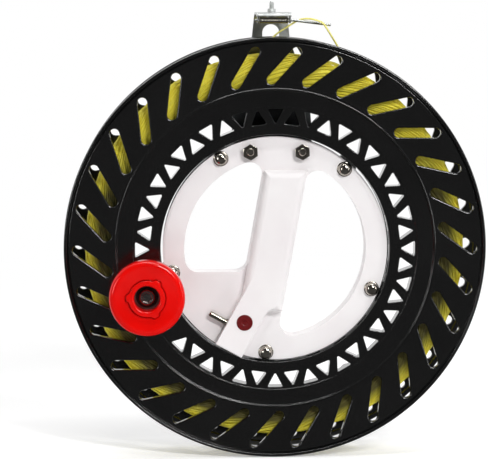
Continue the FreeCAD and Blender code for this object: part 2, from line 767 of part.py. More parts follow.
def lockChannel(body):
    """The bolt's slideway, its lever's slit in the boss's left wall, the detent's bore and the cap's seat."""
    wall = "(lockWidth / 2 + lockClear)"
    mouth = "(capInset + 4)"
    slide = newSketch(body, lift="lockTop + lockClear")
    drawPolygon(slide, [alongBoss(mouth, wall), alongBoss(mouth, "-" + wall),
                        alongBoss("lockTip - lockLength - lockClear", "-" + wall),
                        alongBoss("lockTip - lockLength - lockClear", wall)])
    pocketed(body, slide, "lockThick + 2 * lockClear")
    slit = newSketch(body, lift="leverLift + leverRadius + lockClear")
    near = "(leverAlong - leverRadius - lockClear)"
    far = "(leverAlong + lockTravel + leverRadius + lockClear)"
    outside = "(bossWidth / 2 + slitOver)"
    drawPolygon(slit, [alongBoss(near, outside), alongBoss(far, outside), alongBoss(far, "0.2"),
                       alongBoss(near, "0.2")])
    pocketed(body, slit, "leverLift + leverRadius + lockClear - lockTop")
    groove = newSketch(body, lift="hubFront")
    drawPolygon(groove, [alongBoss(near, outside), alongBoss(far, outside), alongBoss(far, "(bossWidth / 2)"),
                         alongBoss(near, "(bossWidth / 2)")])
    pocketed(body, groove, "slitDeep")
    bore = newSketch(body, lift="hubFront + gripStand + 1")
    drawCircle(bore, "detentBore", "bossAcross", "bossAlong")
    pocketed(body, bore, "hubFront + gripStand + 1 - lockTop")
    seat = newSketch(body, lift="hubFront + gripStand + 1")
    drawCircle(seat, "capRadius + capFit", "bossAcross", "bossAlong")
    pocketed(body, seat, "capHigh + 1")


def makeHubFront():
    body = newBody("hub_front_shell")
    plate = newSketch(body, lift="hubSplit")
    drawCircle(plate, "hubRadius")
    padded(body, plate, "hubFront - hubSplit")
    cutHandHoles(body, "hubFront + 1", "hubFront - hubSplit + 2")
    grip = newSketch(body, lift="hubFront")
    drawGrip(grip)
    padded(body, grip, "gripStand")
    top = size("hubFront + gripStand")
    rounded(body, "gripRound", lambda edge: edge.BoundBox.ZMin > top - 0.01)
    boss = newSketch(body, lift="hubFront")
    drawPolygon(boss, [alongBoss("-bossStart", "bossWidth / 2"), alongBoss("capInset", "bossWidth / 2"),
                       alongBoss("capInset", "-bossWidth / 2"), alongBoss("-bossStart * 0.6", "-bossWidth / 2"),
                       alongBoss("-bossStart * 0.85", "-bossWidth / 4")])
    padded(body, boss, "gripStand")
    foot = size("-gripFoot")
    face = size("hubFront")
    rounded(body, "bossInner", lambda edge: upright(edge) and abs(middle(edge).y - foot) < 0.1
            and edge.BoundBox.ZMin > face - 0.1 and middle(edge).x < 0)
    rounded(body, "bossRound", lambda edge: edge.BoundBox.ZMin > top - 0.01 and middle(edge).y < foot - 1)
    bearingPockets(body, "(hubSplit + bearingWidth / 2)", "hubSplit")
    boltHoles(body)
    lockChannel(body)
    return body


def makeHubRear():
    body = newBody("hub_rear_shell")
    plate = newSketch(body, lift="-hubBack")
    drawCircle(plate, "hubRadius")
    padded(body, plate, "hubSplit + hubBack")
    cutHandHoles(body, "hubSplit + 1", "hubSplit + hubBack + 2")
    grip = newSketch(body, lift="-hubBack - gripStand")
    drawGrip(grip)
    padded(body, grip, "gripStand")
    low = size("-hubBack - gripStand")
    rounded(body, "rearRound", lambda edge: edge.BoundBox.ZMax < low + 0.01)
    pad = newSketch(body, lift="-hubBack - guideSeat")
    right = "(guideShift + guideFootWidth / 2 - 1)"
    left = "(guideShift - guideFootWidth / 2 + 1)"
    top = "hubRadius - 2.3"
    drawPolygon(pad, [(left, "guideFootLow"), (right, "guideFootLow"), (right, "guideBoltHeight + 2.4"),
                      (right + " - guideCorner", top), (left + " + guideCorner", top),
                      (left, "guideBoltHeight + 2.4")])
    padded(body, pad, "guideSeat")
    bearingPockets(body, "(hubSplit - bearingWidth / 2)", "hubSplit")
    boltHoles(body)
    return body


def makeAxleScrews():
    """Domed screws that hold the shells together and carry the bearings."""
    body = newBody("hub_screws", size("bearingAngle"))
    face = "hubFront"
    end = "-(hubBack + nutHigh + axleOverrun)"
    screw = turned(body, [
        ("0", end),
        ("bearingBore / 2 - axlePlay", end),
        ("bearingBore / 2 - axlePlay", face),
        ("domeRadius", face),
        ("domeRadius", face + " + domeHigh * 0.45"),
        ("domeRadius * 0.88", face + " + domeHigh * 0.72"),
        ("domeRadius * 0.6", face + " + domeHigh * 0.92"),
        ("0", face + " + domeHigh"),
    ], "bearingCircle")
    repeated(body, screw, "bearingCount")
    return body


def makeAxleNuts():
    body = newBody("hub_nuts", size("bearingAngle"))
    sketch = newSketch(body, lift="-hubBack - nutHigh")
    drawHexagon(sketch, "nutFlats", "bearingCircle")
    drawCircle(sketch, "bearingBore / 2 - axlePlay + coreFit", "bearingCircle")
    nut = padded(body, sketch, "nutHigh")
    repeated(body, nut, "bearingCount")
    return body


def makeInnerRaces():
    body = newBody("bearing_inner_races", size("bearingAngle"))
    low = "(hubSplit - bearingWidth / 2)"
    race = turned(body, [
        ("bearingBore / 2", low),
        ("bearingShoulder", low),
        ("bearingShoulder", low + " + bearingWidth"),
        ("bearingBore / 2", low + " + bearingWidth"),
    ], "bearingCircle")
    repeated(body, race, "bearingCount")
    return body


def makeOuterRace(index):
    body = newBody("bearing_outer_race_%d" % (index + 1), size("bearingAngle + %d * 360 / bearingCount" % index))
    low = "(hubSplit - bearingWidth / 2)"
    high = "(hubSplit + bearingWidth / 2)"
    turned(body, [
        ("bearingShoulder + bearingPlay", low + " + bearingShield"),
        ("bearingOutside / 2 - bearingEdge", low + " + bearingShield"),
        ("bearingOutside / 2 - bearingEdge", low),
        ("bearingOutside / 2", low),
        ("bearingOutside / 2", high),
        ("bearingOutside / 2 - bearingEdge", high),
        ("bearingOutside / 2 - bearingEdge", high + " - bearingShield"),
        ("bearingShoulder + bearingPlay", high + " - bearingShield"),
    ], "bearingCircle")
    return body


# ---------------------------------------------------------------- lock

def bossPlacement(lift="0"):
    """Turns a piece so that its own x runs along the lock boss to the rim and its y to the boss's right."""
    return (size("bossAcross"), size("bossAlong"), size(lift)), size("270 - bossTilt")


def makeLockBolt():
    shift, turn = bossPlacement()
    body = newBody("lock_bolt", turn, shift)
    sketch = newSketch(body, lift="lockFloor")
    half = "(lockWidth / 2)"
    drawPolygon(sketch, [("lockTip - lockLength", "-" + half), ("lockTip - lockNose", "-" + half),
                         ("lockTip", "-%s + lockNose" % half), ("lockTip", half + " - lockNose"),
                         ("lockTip - lockNose", half), ("lockTip - lockLength", half)])
    padded(body, sketch, "lockThick")
    dimples = newSketch(body, lift="lockTop")
    drawCircle(dimples, "detentRadius * 0.8", "0")
    drawCircle(dimples, "detentRadius * 0.8", "-lockTravel")
    pocketed(body, dimples, "dimpleDepth")
    return body


def makeLockLever():
    """A pin that stands on the bolt and bends out through the slit in the boss's left wall."""
    shift, turn = bossPlacement()
    body = newBody("lock_lever", turn, shift)
    foot = newSketch(body, lift="lockTop")
    drawCircle(foot, "leverRadius * 0.8", "leverAlong", "-lockWidth / 2 + leverRadius * 0.8 + 0.1")
    padded(body, foot, "leverLift - lockTop")
    arm = newSketch(body, "XZ_Plane", lift="lockWidth / 2 - leverRadius * 1.7 - 0.1")
    drawCircle(arm, "leverRadius", "leverAlong", "leverLift")
    padded(body, arm, "leverReach - lockWidth / 2 + leverRadius * 1.7 + 0.1")
    tip = size("-leverReach")
    rounded(body, "leverRadius * 0.4", lambda edge: edge.BoundBox.YMax < tip + 0.01)
    return body


def makeDetentBall():
    shift, turn = bossPlacement("lockTop + detentClear + detentRadius")
    ball = doc.addObject("Part::Sphere", "detent_ball")
    ball.Label = "detent_ball"
    ball.setExpression("Radius", linked("detentRadius"))
    ball.Placement = standing.multiply(FreeCAD.Placement(Vector(*shift), FreeCAD.Rotation(Vector(0, 0, 1), turn)))
    made.append(ball)
    return ball


def makeDetentSpring():
    """Coil spring from the ball up to the cap, as one coiled wire."""
    low = size("lockTop + detentClear + 2 * detentRadius + springWire / 2")
    high = size("hubFront + gripStand - capHigh - springWire / 2")
    radius = size("springRadius - springWire / 2")
    coil = Part.makeHelix((high - low) / size("springTurns"), high - low, radius)
    ring = Part.Wire([Part.makeCircle(size("springWire / 2"), Vector(radius, 0, 0), Vector(0, 1, 0))])
    spring = doc.addObject("Part::Feature", "detent_spring")
    spring.Label = "detent_spring"
    spring.Shape = Part.Wire(coil.Edges).makePipeShell([ring], True, True)
    shift, turn = bossPlacement()
    shift = (shift[0], shift[1], low)
    spring.Placement = standing.multiply(FreeCAD.Placement(Vector(*shift), FreeCAD.Rotation(Vector(0, 0, 1), turn)))
    made.append(spring)
    return spring


def makeDetentCap():
    shift, turn = bossPlacement()
    body = newBody("lock_cap", turn, shift)
    low = "(hubFront + gripStand - capHigh)"
    turned(body, [
        ("0", low),
        ("capRadius", low),
        ("capRadius", low + " + capHigh + capStand * 0.4"),
        ("capRadius - 0.5", low + " + capHigh + capStand"),
        ("0", low + " + capHigh + capStand"),
    ])
    return body


# ---------------------------------------------------------------- line guide

def bentStrip(points, wall, bends):
    """Closed outline of a bent strip: both sides of a route through the points, with a bend at each inner one."""
    sides = []
    for side in (-1, 1):
        edges = []
        corners = []
        for index, point in enumerate(points):
            before = (point - points[index - 1]).normalize() if index else None
            after = (points[index + 1] - point).normalize() if index + 1 < len(points) else None
            first = before or after
            second = after or before
            normal = Vector(-first.y, first.x, 0) + Vector(-second.y, second.x, 0)
            normal.normalize()
            stretch = 1 / normal.dot(Vector(-first.y, first.x, 0))
            corners.append((point + normal * (side * wall / 2 * stretch), first, second))
        last = corners[0][0]
        for (corner, first, second), bend in zip(corners[1:-1], bends):
            turn = first.getAngle(second)
            turnsLeft = first.cross(second).z > 0
            radius = bend - wall / 2 if (side == 1) == turnsLeft else bend + wall / 2
            back = radius * math.tan(turn / 2)
            start = corner - first * back
            end = corner + second * back
            inward = (second - first).normalize()
            middlePoint = corner + inward * (radius / math.cos(turn / 2) - radius)
            edges.append(Part.LineSegment(last, start).toShape())
            edges.append(Part.Arc(start, middlePoint, end).toShape())
            last = end
        edges.append(Part.LineSegment(last, corners[-1][0]).toShape())
        sides.append((edges, corners[0][0], corners[-1][0]))
    (lower, lowerStart, lowerEnd), (upper, upperStart, upperEnd) = sides
    ends = [Part.LineSegment(lowerEnd, upperEnd).toShape(), Part.LineSegment(lowerStart, upperStart).toShape()]
    return Part.Wire(Part.__sortEdges__(lower + upper + ends))


def makeGuideBracket():
    """A steel strip from the hub's back, round behind the rear disc, over the rim and down in a short lip."""
    wall = size("guideWall")
    seat = size("-hubBack - guideSeat") - wall / 2
    back = size("-guideBack") - wall / 2
    top = size("guideTop") - wall / 2
    front = size("guideFront") - wall / 2
    route = [Vector(size("guideFootLow"), seat, 0), Vector(size("guideFootBend"), seat, 0),
             Vector(size("guideRise"), back, 0), Vector(top, back, 0), Vector(top, front, 0),
             Vector(size("guideTop - guideLip"), front, 0)]
    bends = [size(words) for words in ("guideBend", "guideBend", "guideTopBend", "guideLipBend")]
    outline = bentStrip(route, wall, bends)
    side = Part.Face(outline)
    # the outline is drawn as (height, depth); this turns it into the yz plane and makes it as wide as the foot
    side.transformShape(FreeCAD.Matrix(0, 0, 1, 0, 1, 0, 0, 0, 0, 1, 0, 0, 0, 0, 0, 1))
    half = size("guideFootWidth / 2")
    strip = side.extrude(Vector(2 * half, 0, 0))
    strip.translate(Vector(size("guideShift") - half, 0, 0))
    low = size("guideFootLow") - 1
    corner = size("guideCorner")
    rim = size("rimRadius") - 2
    shoulder = size("guideRise + guideShoulder")
    rimHalf = size("guideRimWidth / 2")
    topHalf = size("guideTopWidth / 2")
    high = size("guideTop") + 1
    centre = size("guideShift")
    corners = [(-half + corner, low), (half - corner, low), (half, low + corner), (half, shoulder), (rimHalf, rim),
               (topHalf, high), (-topHalf, high), (-rimHalf, rim), (-half, shoulder), (-half, low + corner)]
    depth = size("guideBack + guideFront + 20")
    front = [Vector(centre + across, height, -depth / 2) for across, height in corners]
    blank = Part.Face(Part.makePolygon(front + front[:1])).extrude(Vector(0, 0, depth))
    shape = strip.common(blank)
    window = size("windowWidth / 2")
    arch = size("windowTop") - window
    sill = size("windowLow")
    places = [Vector(centre - window, sill, 0), Vector(centre + window, sill, 0), Vector(centre + window, arch, 0),
              Vector(centre - window, arch, 0)]
    crown = Part.Arc(places[2], Vector(centre, arch + window, 0), places[3]).toShape()
    edges = [Part.makeLine(places[3], places[0]), Part.makeLine(places[0], places[1]),
             Part.makeLine(places[1], places[2]), crown]
    hole = Part.Face(Part.Wire(edges)).extrude(Vector(0, 0, -size("guideBack") - 10))
    shape = shape.cut(hole)
    for hand in (-1, 1):
        across = centre + size("guideBoltShift") + hand * size("guideBoltSpan / 2")
        bore = Part.makeCylinder(size("guideBoltRadius + guideBoltFit"), 20,
                                 Vector(across, size("guideBoltHeight"), seat - 10), Vector(0, 0, 1))
        shape = shape.cut(bore)
    screw = Part.makeCylinder(size("guideScrewRadius + guideBoltFit"), 10,
                              Vector(size("guideScrewAcross"), high - 6, size("guideScrewForward")), Vector(0, 1, 0))
    shape = shape.cut(screw)
    bracket = doc.addObject("Part::Feature", "guide_bracket")
    bracket.Label = "guide_bracket"
    bracket.Shape = shape.removeSplitter()
    bracket.Placement = standing
    made.append(bracket)
    return bracket


def makeBracketBolts():
    body = newBody("bracket_bolts", 0, (size("guideShift + guideBoltShift"), size("guideBoltHeight"), 0))
    back = "-(hubBack + guideSeat + guideWall)"
    end = "(hubFront + guideNutHigh + guideBoltOverrun)"
    for side in (-1, 1):
        turned(body, [
            ("0", back + " - guideBoltHeadHigh"),
            ("guideBoltHead * 0.75", back + " - guideBoltHeadHigh"),
            ("guideBoltHead", back + " - guideBoltHeadHigh * 0.4"),
            ("guideBoltHead", back),
            ("guideBoltRadius", back),
            ("guideBoltRadius", end + " - boltPoint"),
            ("guideBoltRadius - boltPoint", end),
            ("0", end),
        ], "%d * guideBoltSpan / 2" % side)
    return body


def makeBracketNuts():
    body = newBody("bracket_nuts", 0, (size("guideShift + guideBoltShift"), size("guideBoltHeight"), 0))
    sketch = newSketch(body, lift="hubFront")
    for side in (-1, 1):
        drawHexagon(sketch, "guideNutFlats", "%d * guideBoltSpan / 2" % side)
        drawCircle(sketch, "guideBoltRadius + coreFit", "%d * guideBoltSpan / 2" % side)
    padded(body, sketch, "guideNutHigh")
    return body


def makeRollerHolder():
    """A small channel under the guide's top, with an ear at each end for the roller's axle."""
    body = newBody("roller_holder")
    half = "(guideTopWidth / 2)"
    web = newSketch(body, "XZ_Plane", lift="-guideUnder")
    drawPolygon(web, [("guideShift - " + half, "holderFront - holderLength"),
                      ("guideShift + " + half, "holderFront - holderLength"),
                      ("guideShift + " + half, "holderFront"), ("guideShift - " + half, "holderFront")])
    padded(body, web, "holderWall")
    for side in (-1, 1):
        edge = "guideShift + %d * %s" % (side, half)
        ear = newSketch(body, "YZ_Plane", lift="%s - %s" % (edge, "holderWall" if side > 0 else "0"))
        drawPolygon(ear, [("guideUnder", "holderFront"), ("guideUnder", "holderFront - holderEarLength"),
                          ("holderEarLow + holderEarCorner", "holderFront - holderEarLength"),
                          ("holderEarLow", "holderFront + holderEarCorner - holderEarLength"),
                          ("holderEarLow", "holderFront - holderEarCorner"),
                          ("holderEarLow + holderEarCorner", "holderFront")])
        padded(body, ear, "holderWall")
    axle = newSketch(body, "YZ_Plane", lift="guideShift - %s - 1" % half)
    drawCircle(axle, "wireRadius + bearingPlay", "rollerHeight", "rollerForward")
    pocketedForward(body, axle, "guideTopWidth + 2")
    hole = newSketch(body, "XZ_Plane", lift="-guideTop - 1")
    drawCircle(hole, "guideScrewRadius + guideBoltFit", "guideScrewAcross", "guideScrewForward")
    pocketedForward(body, hole, "guideWall + holderWall + 2")
    return body


def pocketedForward(body, sketch, length):
    """Cuts from a sketch along its normal."""
    doc.recompute()
    before = body.Shape.Volume
    pocket = body.newObject("PartDesign::Pocket", body.Label + "Drill")
    pocket.Profile = sketch
    pocket.Reversed = True
    pocket.Length = size(length)
    pocket.setExpression("Length", linked(length))
    body.Tip = pocket
    doc.recompute()
    if body.Shape.Volume > before - 1e-6:
        raise RuntimeError("%s: a drilled hole cut nothing" % body.Label)
    return pocket


def makeGuideRoller():
    """A roller with turned grooves, free on the wire between the holder's ears."""
    half = size("guideTopWidth / 2 - holderWall - rollerPlay")
    outside = size("rollerRadius")
    inside = size("rollerRadius - grooveDepth")
    bore = size("rollerBore")
    count = int(size("grooveCount"))
    pitch = 2 * half / count
    points = [Vector(bore, 0, -half), Vector(outside - 0.2, 0, -half)]
    for index in range(count):
        left = -half + index * pitch
        points.append(Vector(outside, 0, left + pitch * 0.25))
        points.append(Vector(outside, 0, left + pitch * 0.65))
        points.append(Vector(inside, 0, left + pitch * 0.9))
    points[-1] = Vector(outside - 0.2, 0, half)
    points.append(Vector(bore, 0, half))
    profile = Part.Face(Part.makePolygon(points + points[:1]))
    roller = doc.addObject("Part::Feature", "guide_roller")
    roller.Label = "guide_roller"
    roller.Shape = profile.revolve(Vector(0, 0, 0), Vector(0, 0, 1), 360)
    roller.Placement = standing.multiply(FreeCAD.Placement(
        Vector(size("guideShift"), size("rollerHeight"), size("rollerForward")),
        FreeCAD.Rotation(Vector(0, 1, 0), 90)))
    made.append(roller)
    return roller


def makeGuideWire():
    """The roller's axle, which runs on to the right as the arm that the line is led over."""
    height = size("rollerHeight")
    forward = size("rollerForward")
    left = size("guideShift - guideTopWidth / 2 - wireEnd")
    kink = size("guideShift + guideTopWidth / 2 + wireStraight")
    droop = math.radians(size("wireDroop"))
    reach = size("wireReach")
    bend = size("wireBend")
    back = bend * math.tan(droop / 2)
    start = Vector(left, height, forward)
    corner = Vector(kink, height, forward)
    end = Vector(kink + reach, height - reach * math.tan(droop), forward)
    away = (end - corner).normalize()
    bendStart = corner - Vector(back, 0, 0)
    bendEnd = corner + away * back
    inward = (away - Vector(1, 0, 0)).normalize()
    bendMiddle = corner + inward * (bend / math.cos(droop / 2) - bend)
    route = Part.Wire([Part.makeLine(start, bendStart), Part.Arc(bendStart, bendMiddle, bendEnd).toShape(),
                       Part.makeLine(bendEnd, end)])
    ring = Part.Wire([Part.makeCircle(size("wireRadius"), start, Vector(1, 0, 0))])
    wire = doc.addObject("Part::Feature", "guide_wire")
    wire.Label = "guide_wire"
    tip = Part.makeSphere(size("wireRadius * 1.25"), end)
    wire.Shape = route.makePipeShell([ring], True, True).fuse(tip)
    wire.Placement = standing
    made.append(wire)
    return wire


def makeGuideScrew():
    """Screw from below through the holder and the guide's top, its end standing over the nut."""
    body = newBody("guide_screw")
    body.Placement = standing.multiply(FreeCAD.Placement(
        Vector(size("guideScrewAcross"), 0, size("guideScrewForward")), FreeCAD.Rotation(Vector(1, 0, 0), -90)))
    seat = "(guideUnder - holderWall)"
    turned(body, [
        ("0", seat + " - guideScrewHeadHigh"),
        ("guideScrewHead * 0.8", seat + " - guideScrewHeadHigh"),
        ("guideScrewHead", seat + " - guideScrewHeadHigh / 2"),
        ("guideScrewHead", seat),
        ("guideScrewRadius", seat),
        ("guideScrewRadius", "guideScrewTop - boltPoint"),
        ("guideScrewRadius - boltPoint", "guideScrewTop"),
        ("0", "guideScrewTop"),
    ])
    return body


def makeGuideScrewNut():
    body = newBody("guide_screw_nut")
    body.Placement = standing.multiply(FreeCAD.Placement(
        Vector(size("guideScrewAcross"), 0, size("guideScrewForward")), FreeCAD.Rotation(Vector(1, 0, 0), -90)))
    sketch = newSketch(body, lift="guideTop")
    drawHexagon(sketch, "guideScrewNutFlats")
    drawCircle(sketch, "guideScrewRadius + coreFit")
    padded(body, sketch, "guideScrewNutHigh")
    return body


# ---------------------------------------------------------------- knob

def knobBody(label):
    return newBody(label, 0, (size("knobAcross"), size("knobAlong"), 0))


def makeKnobBody():
    body = knobBody("knob_body")
    turned(body, [
        ("bearingOutside / 2", "knobLow"),
        ("knobFoot - 1", "knobLow"),
        ("knobFoot", "knobLow + 1"),
        ("knobFoot + 0.8", "knobWaist - 3"),
        ("knobRadius - 1.2", "knobWaist + 1.5"),
        ("knobRadius", "knobWaist + 4"),
        ("knobRadius", "knobTop - knobRound"),
        ("knobRadius - knobRound * 0.3", "knobTop - knobRound * 0.3"),
        ("knobRadius - knobRound", "knobTop"),
        ("earRingRadius + knobDishEdge", "knobFace"),
        ("earRingRadius + earFit", "knobFace"),
        ("earRingRadius + earFit", "knobFace - earRingDeep"),
        ("bearingOutside / 2", "knobFace - earRingDeep"),
        ("bearingOutside / 2", "frontBearing"),
        ("knobShoulder", "frontBearing"),
        ("knobShoulder", "rearBearing + bearingWidth"),
        ("bearingOutside / 2", "rearBearing + bearingWidth"),
    ])
    ears = newSketch(body, lift="knobTop")
    drawEar(ears, "earWidth / 2 + earFit", "earReach + earFit")
    cut = pocketed(body, ears, "knobDish + earRingDeep")
    repeated(body, cut, "earCount")
    return body


def drawEar(sketch, half, reach):
    """A blunt saw tooth that leans one way, from inside the ring out to its reach."""
    start = "(earRingRadius - 1.2)"
    places = ((start, "-(%s)" % half), (reach, "-(%s) * 0.2" % half), (reach, "(%s) * 0.4" % half),
              (start, "(%s)" % half))
    corners = []
    for out, side in places:
        corners.append(("(%s) * cos(earTurn) - (%s) * sin(earTurn)" % (out, side),
                        "(%s) * sin(earTurn) + (%s) * cos(earTurn)" % (out, side)))
    drawPolygon(sketch, corners)


def makeEarRing():
    """The knob's front ring with three ears, which keeps the bearings in."""
    body = knobBody("knob_ring")
    low = "(knobFace - earRingDeep)"
    high = "(knobFace + earRingStand)"
    turned(body, [
        ("knobBore", low),
        ("earRingRadius", low),
        ("earRingRadius", high + " - earRingEdge"),
        ("earRingRadius - earRingEdge", high),
        ("knobBore + earRingEdge", high),
        ("knobBore", high + " - earRingEdge"),
    ])
    ear = newSketch(body, lift=low)
    drawEar(ear, "earWidth / 2", "earReach")
    tooth = padded(body, ear, "earRingDeep + earRingStand - 0.3")
    repeated(body, tooth, "earCount")
    return body


def makeKnobRaces(label, inner, outer):
    body = knobBody(label)
    for low in ("rearBearing", "frontBearing"):
        turned(body, [
            (inner, low),
            (outer, low),
            (outer, low + " + bearingWidth"),
            (inner, low + " + bearingWidth"),
        ])
    return body


def makeKnobSleeve():
    body = knobBody("knob_sleeve")
    turned(body, [
        ("bearingBore / 2", "rearBearing + bearingWidth"),
        ("knobSleeveRadius", "rearBearing + bearingWidth"),
        ("knobSleeveRadius", "frontBearing"),
        ("bearingBore / 2", "frontBearing"),
    ])
    return body


def makeKnobWasher():
    body = knobBody("knob_washer")
    turned(body, [
        ("bearingBore / 2", "knobBossTop"),
        ("knobWasherFlange", "knobBossTop"),
        ("knobWasherFlange", "knobBossTop + 1"),
        ("knobWasherRadius", "knobBossTop + 1.4"),
        ("knobWasherRadius", "rearBearing"),
        ("bearingBore / 2", "rearBearing"),
    ])
    return body


def makeKnobBolt():
    body = knobBody("knob_bolt")
    head = "(frontBearing + bearingWidth)"
    end = "(trussBack - knobNutHigh - axleOverrun)"
    turned(body, [
        ("0", end),
        ("knobBoltRadius", end),
        ("knobBoltRadius", head),
        ("knobHeadRadius", head),
        ("knobHeadRadius", head + " + knobHeadHigh - boltPoint"),
        ("knobHeadRadius - boltPoint", head + " + knobHeadHigh"),
        ("0", head + " + knobHeadHigh"),
    ])
    socket = newSketch(body, lift=head + " + knobHeadHigh")
    drawHexagon(socket, "2 * knobSocket * cos(30)")
    pocketed(body, socket, "knobSocketDeep")
    return body


def makeKnobNut():
    body = knobBody("knob_nut")
    sketch = newSketch(body, lift="trussBack - knobNutHigh")
    drawHexagon(sketch, "knobNutFlats")
    drawCircle(sketch, "knobBoltRadius + coreFit")
    padded(body, sketch, "knobNutHigh")
    return body


# ---------------------------------------------------------------- free line

# Route of the free line in the wheel's frame: out of the winding, up over the guide's arm and back to the winding.
LINE_ROUTE = [
    (-6.8, 99.72, 3.0),
    (-5.2, 104.0, 4.6),
    (-2.8, 108.0, 6.6),
    (0.4, 111.5, 8.2),
    (4.2, 114.0, 9.3),
    (8.2, 116.6, 10.1),
    (12.2, 119.5, 11.3),
    (16.6, 120.1, 13.4),
    (20.6, 119.3, 14.6),
    (24.2, 117.4, 14.8),
    (26.6, 113.9, 12.6),
    (29.0, 110.4, 9.5),
    (31.6, 106.6, 6.6),
    (34.0, 102.6, 4.2),
    (35.6, 98.0, 2.4),
    (36.6, 93.0, 1.0),
]


def makeFreeLine():
    """A round tube along straight runs that are joined by tangent arcs as large as the runs allow."""
    points = [Vector(*place) for place in LINE_ROUTE]
    edges = []
    radii = []
    last = points[0]
    for index in range(1, len(points) - 1):
        corner = points[index]
        before = corner - points[index - 1]
        after = points[index + 1] - corner
        turn = before.getAngle(after)
        radius = 0.45 * min(before.Length, after.Length) / math.tan(turn / 2)
        radii.append(round(radius, 1))
        back = radius * math.tan(turn / 2)
        before.normalize()
        after.normalize()
        start = corner - before * back
        end = corner + after * back
        inward = (after - before).normalize()
        middlePoint = corner + inward * (radius / math.cos(turn / 2) - radius)
        edges.append(Part.makeLine(last, start))
        edges.append(Part.Arc(start, middlePoint, end).toShape())
        last = end
    edges.append(Part.makeLine(last, points[-1]))
    route = Part.Wire(edges)
    ring = Part.Wire([Part.makeCircle(size("lineRadius"), points[0], points[1] - points[0])])
    tube = route.makePipeShell([ring], True, True)
    expected = math.pi * size("lineRadius") ** 2 * route.Length
    print("free line: length %.1f mm, radii %s, volume %.2f of %.2f" % (route.Length, radii, tube.Volume, expected))
    line = doc.addObject("Part::Feature", "kite_line")
    line.Label = "kite_line"
    line.Shape = tube
    line.Placement = standing
    made.append(line)
    return line


def build():
    makeFrontDisc()
    makeRearDisc()
    makeSpoolCore()
    makeWheelScrews()
    makeWinding()
    makeHubFront()
    makeHubRear()
    makeAxleScrews()
    makeAxleNuts()
    makeInnerRaces()
    for index in range(int(size("bearingCount"))):
        makeOuterRace(index)
    makeLockBolt()
    makeLockLever()
    makeDetentBall()
    makeDetentSpring()
    makeDetentCap()
    makeGuideBracket()
    makeBracketBolts()
    makeBracketNuts()
    makeRollerHolder()
    makeGuideRoller()
    makeGuideWire()
    makeGuideScrew()
    makeGuideScrewNut()
    makeKnobBody()
    makeEarRing()
    makeKnobRaces("knob_inner_races", "bearingBore / 2", "bearingShoulder")
    makeKnobRaces("knob_outer_races", "bearingShoulder + bearingPlay", "bearingOutside / 2")
    makeKnobSleeve()
    makeKnobWasher()
    makeKnobBolt()
    makeKnobNut()
    makeFreeLine()


def export():
    doc.recompute()
    for thing in doc.Objects:
        if "Invalid" in thing.State or "Error" in thing.State:
            raise RuntimeError("%s failed: %s" % (thing.Label, thing.State))
    os.makedirs("parts", exist_ok=True)
    for piece in made:
        shape = piece.Shape
        if shape.isNull() or not shape.isValid() or not shape.Solids:
            raise RuntimeError("%s has no valid solid" % piece.Label)
        shape.exportStep("parts/%s.step" % piece.Label)
        print("%-24s %2d solids %10.1f mm3" % (piece.Label, len(shape.Solids), shape.Volume))


build()
export()
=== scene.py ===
import json
import math

import bmesh
import bpy
from mathutils import Matrix, Vector


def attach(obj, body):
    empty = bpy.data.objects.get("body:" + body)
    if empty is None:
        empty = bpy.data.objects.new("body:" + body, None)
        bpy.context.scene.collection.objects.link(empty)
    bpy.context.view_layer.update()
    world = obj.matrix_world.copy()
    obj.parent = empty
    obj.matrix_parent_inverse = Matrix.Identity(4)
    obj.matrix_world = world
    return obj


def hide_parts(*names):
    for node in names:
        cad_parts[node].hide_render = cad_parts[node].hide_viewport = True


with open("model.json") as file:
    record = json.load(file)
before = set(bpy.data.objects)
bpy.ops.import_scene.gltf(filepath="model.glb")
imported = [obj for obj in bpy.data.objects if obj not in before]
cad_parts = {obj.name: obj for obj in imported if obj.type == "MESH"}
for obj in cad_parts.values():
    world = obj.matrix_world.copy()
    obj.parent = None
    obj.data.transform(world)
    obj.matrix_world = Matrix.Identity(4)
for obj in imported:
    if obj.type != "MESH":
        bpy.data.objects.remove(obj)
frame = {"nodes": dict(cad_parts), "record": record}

mm = 0.001
scene = bpy.context.scene
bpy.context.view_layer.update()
scene.view_settings.view_transform = "Standard"


# Sizes below are millimetres in the wheel's own frame: x to the right, y up, z towards the crank side.
def inRow(across, up, forward):
    return Vector((across * mm, -forward * mm, up * mm))


# ---- camera

camera = {"place": (-0.058, -1.015, 0.130), "aim": (-0.0165, -0.015, 0.0107), "lens": 143.3}

cameraData = bpy.data.cameras.new("camera")
cameraData.lens = camera["lens"]
cameraData.sensor_width = 36.0
cameraObject = bpy.data.objects.new("camera", cameraData)
cameraObject.location = camera["place"]
sight = Vector(camera["aim"]) - Vector(camera["place"])
cameraObject.rotation_euler = sight.to_track_quat("-Z", "Y").to_euler()
scene.collection.objects.link(cameraObject)
scene.camera = cameraObject


# ---- materials

def linear(hexValue):
    parts = [int(hexValue[i:i + 2], 16) / 255 for i in (1, 3, 5)]
    return tuple(v / 12.92 if v <= 0.04045 else ((v + 0.055) / 1.055) ** 2.4 for v in parts) + (1.0,)


# Adds a node, sets its properties and fills its sockets with numbers, hex colours, or links from another
# node's socket; a node given by itself is linked from its first output.
def addNode(tree, kind, sockets=None, **settings):
    made = tree.nodes.new(kind)
    for name, value in settings.items():
        setattr(made, name, value)
    for name, value in (sockets or {}).items():
        if isinstance(value, bpy.types.Node):
            value = value.outputs[0]
        if isinstance(value, bpy.types.NodeSocket):
            tree.links.new(value, made.inputs[name])
        else:
            made.inputs[name].default_value = linear(value) if isinstance(value, str) else value
    return made


def startMaterial(name):
    material = bpy.data.materials.new(name)
    material.use_nodes = True
    tree = material.node_tree
    tree.nodes.clear()
    return material, tree, addNode(tree, "ShaderNodeTexCoord").outputs["Object"]


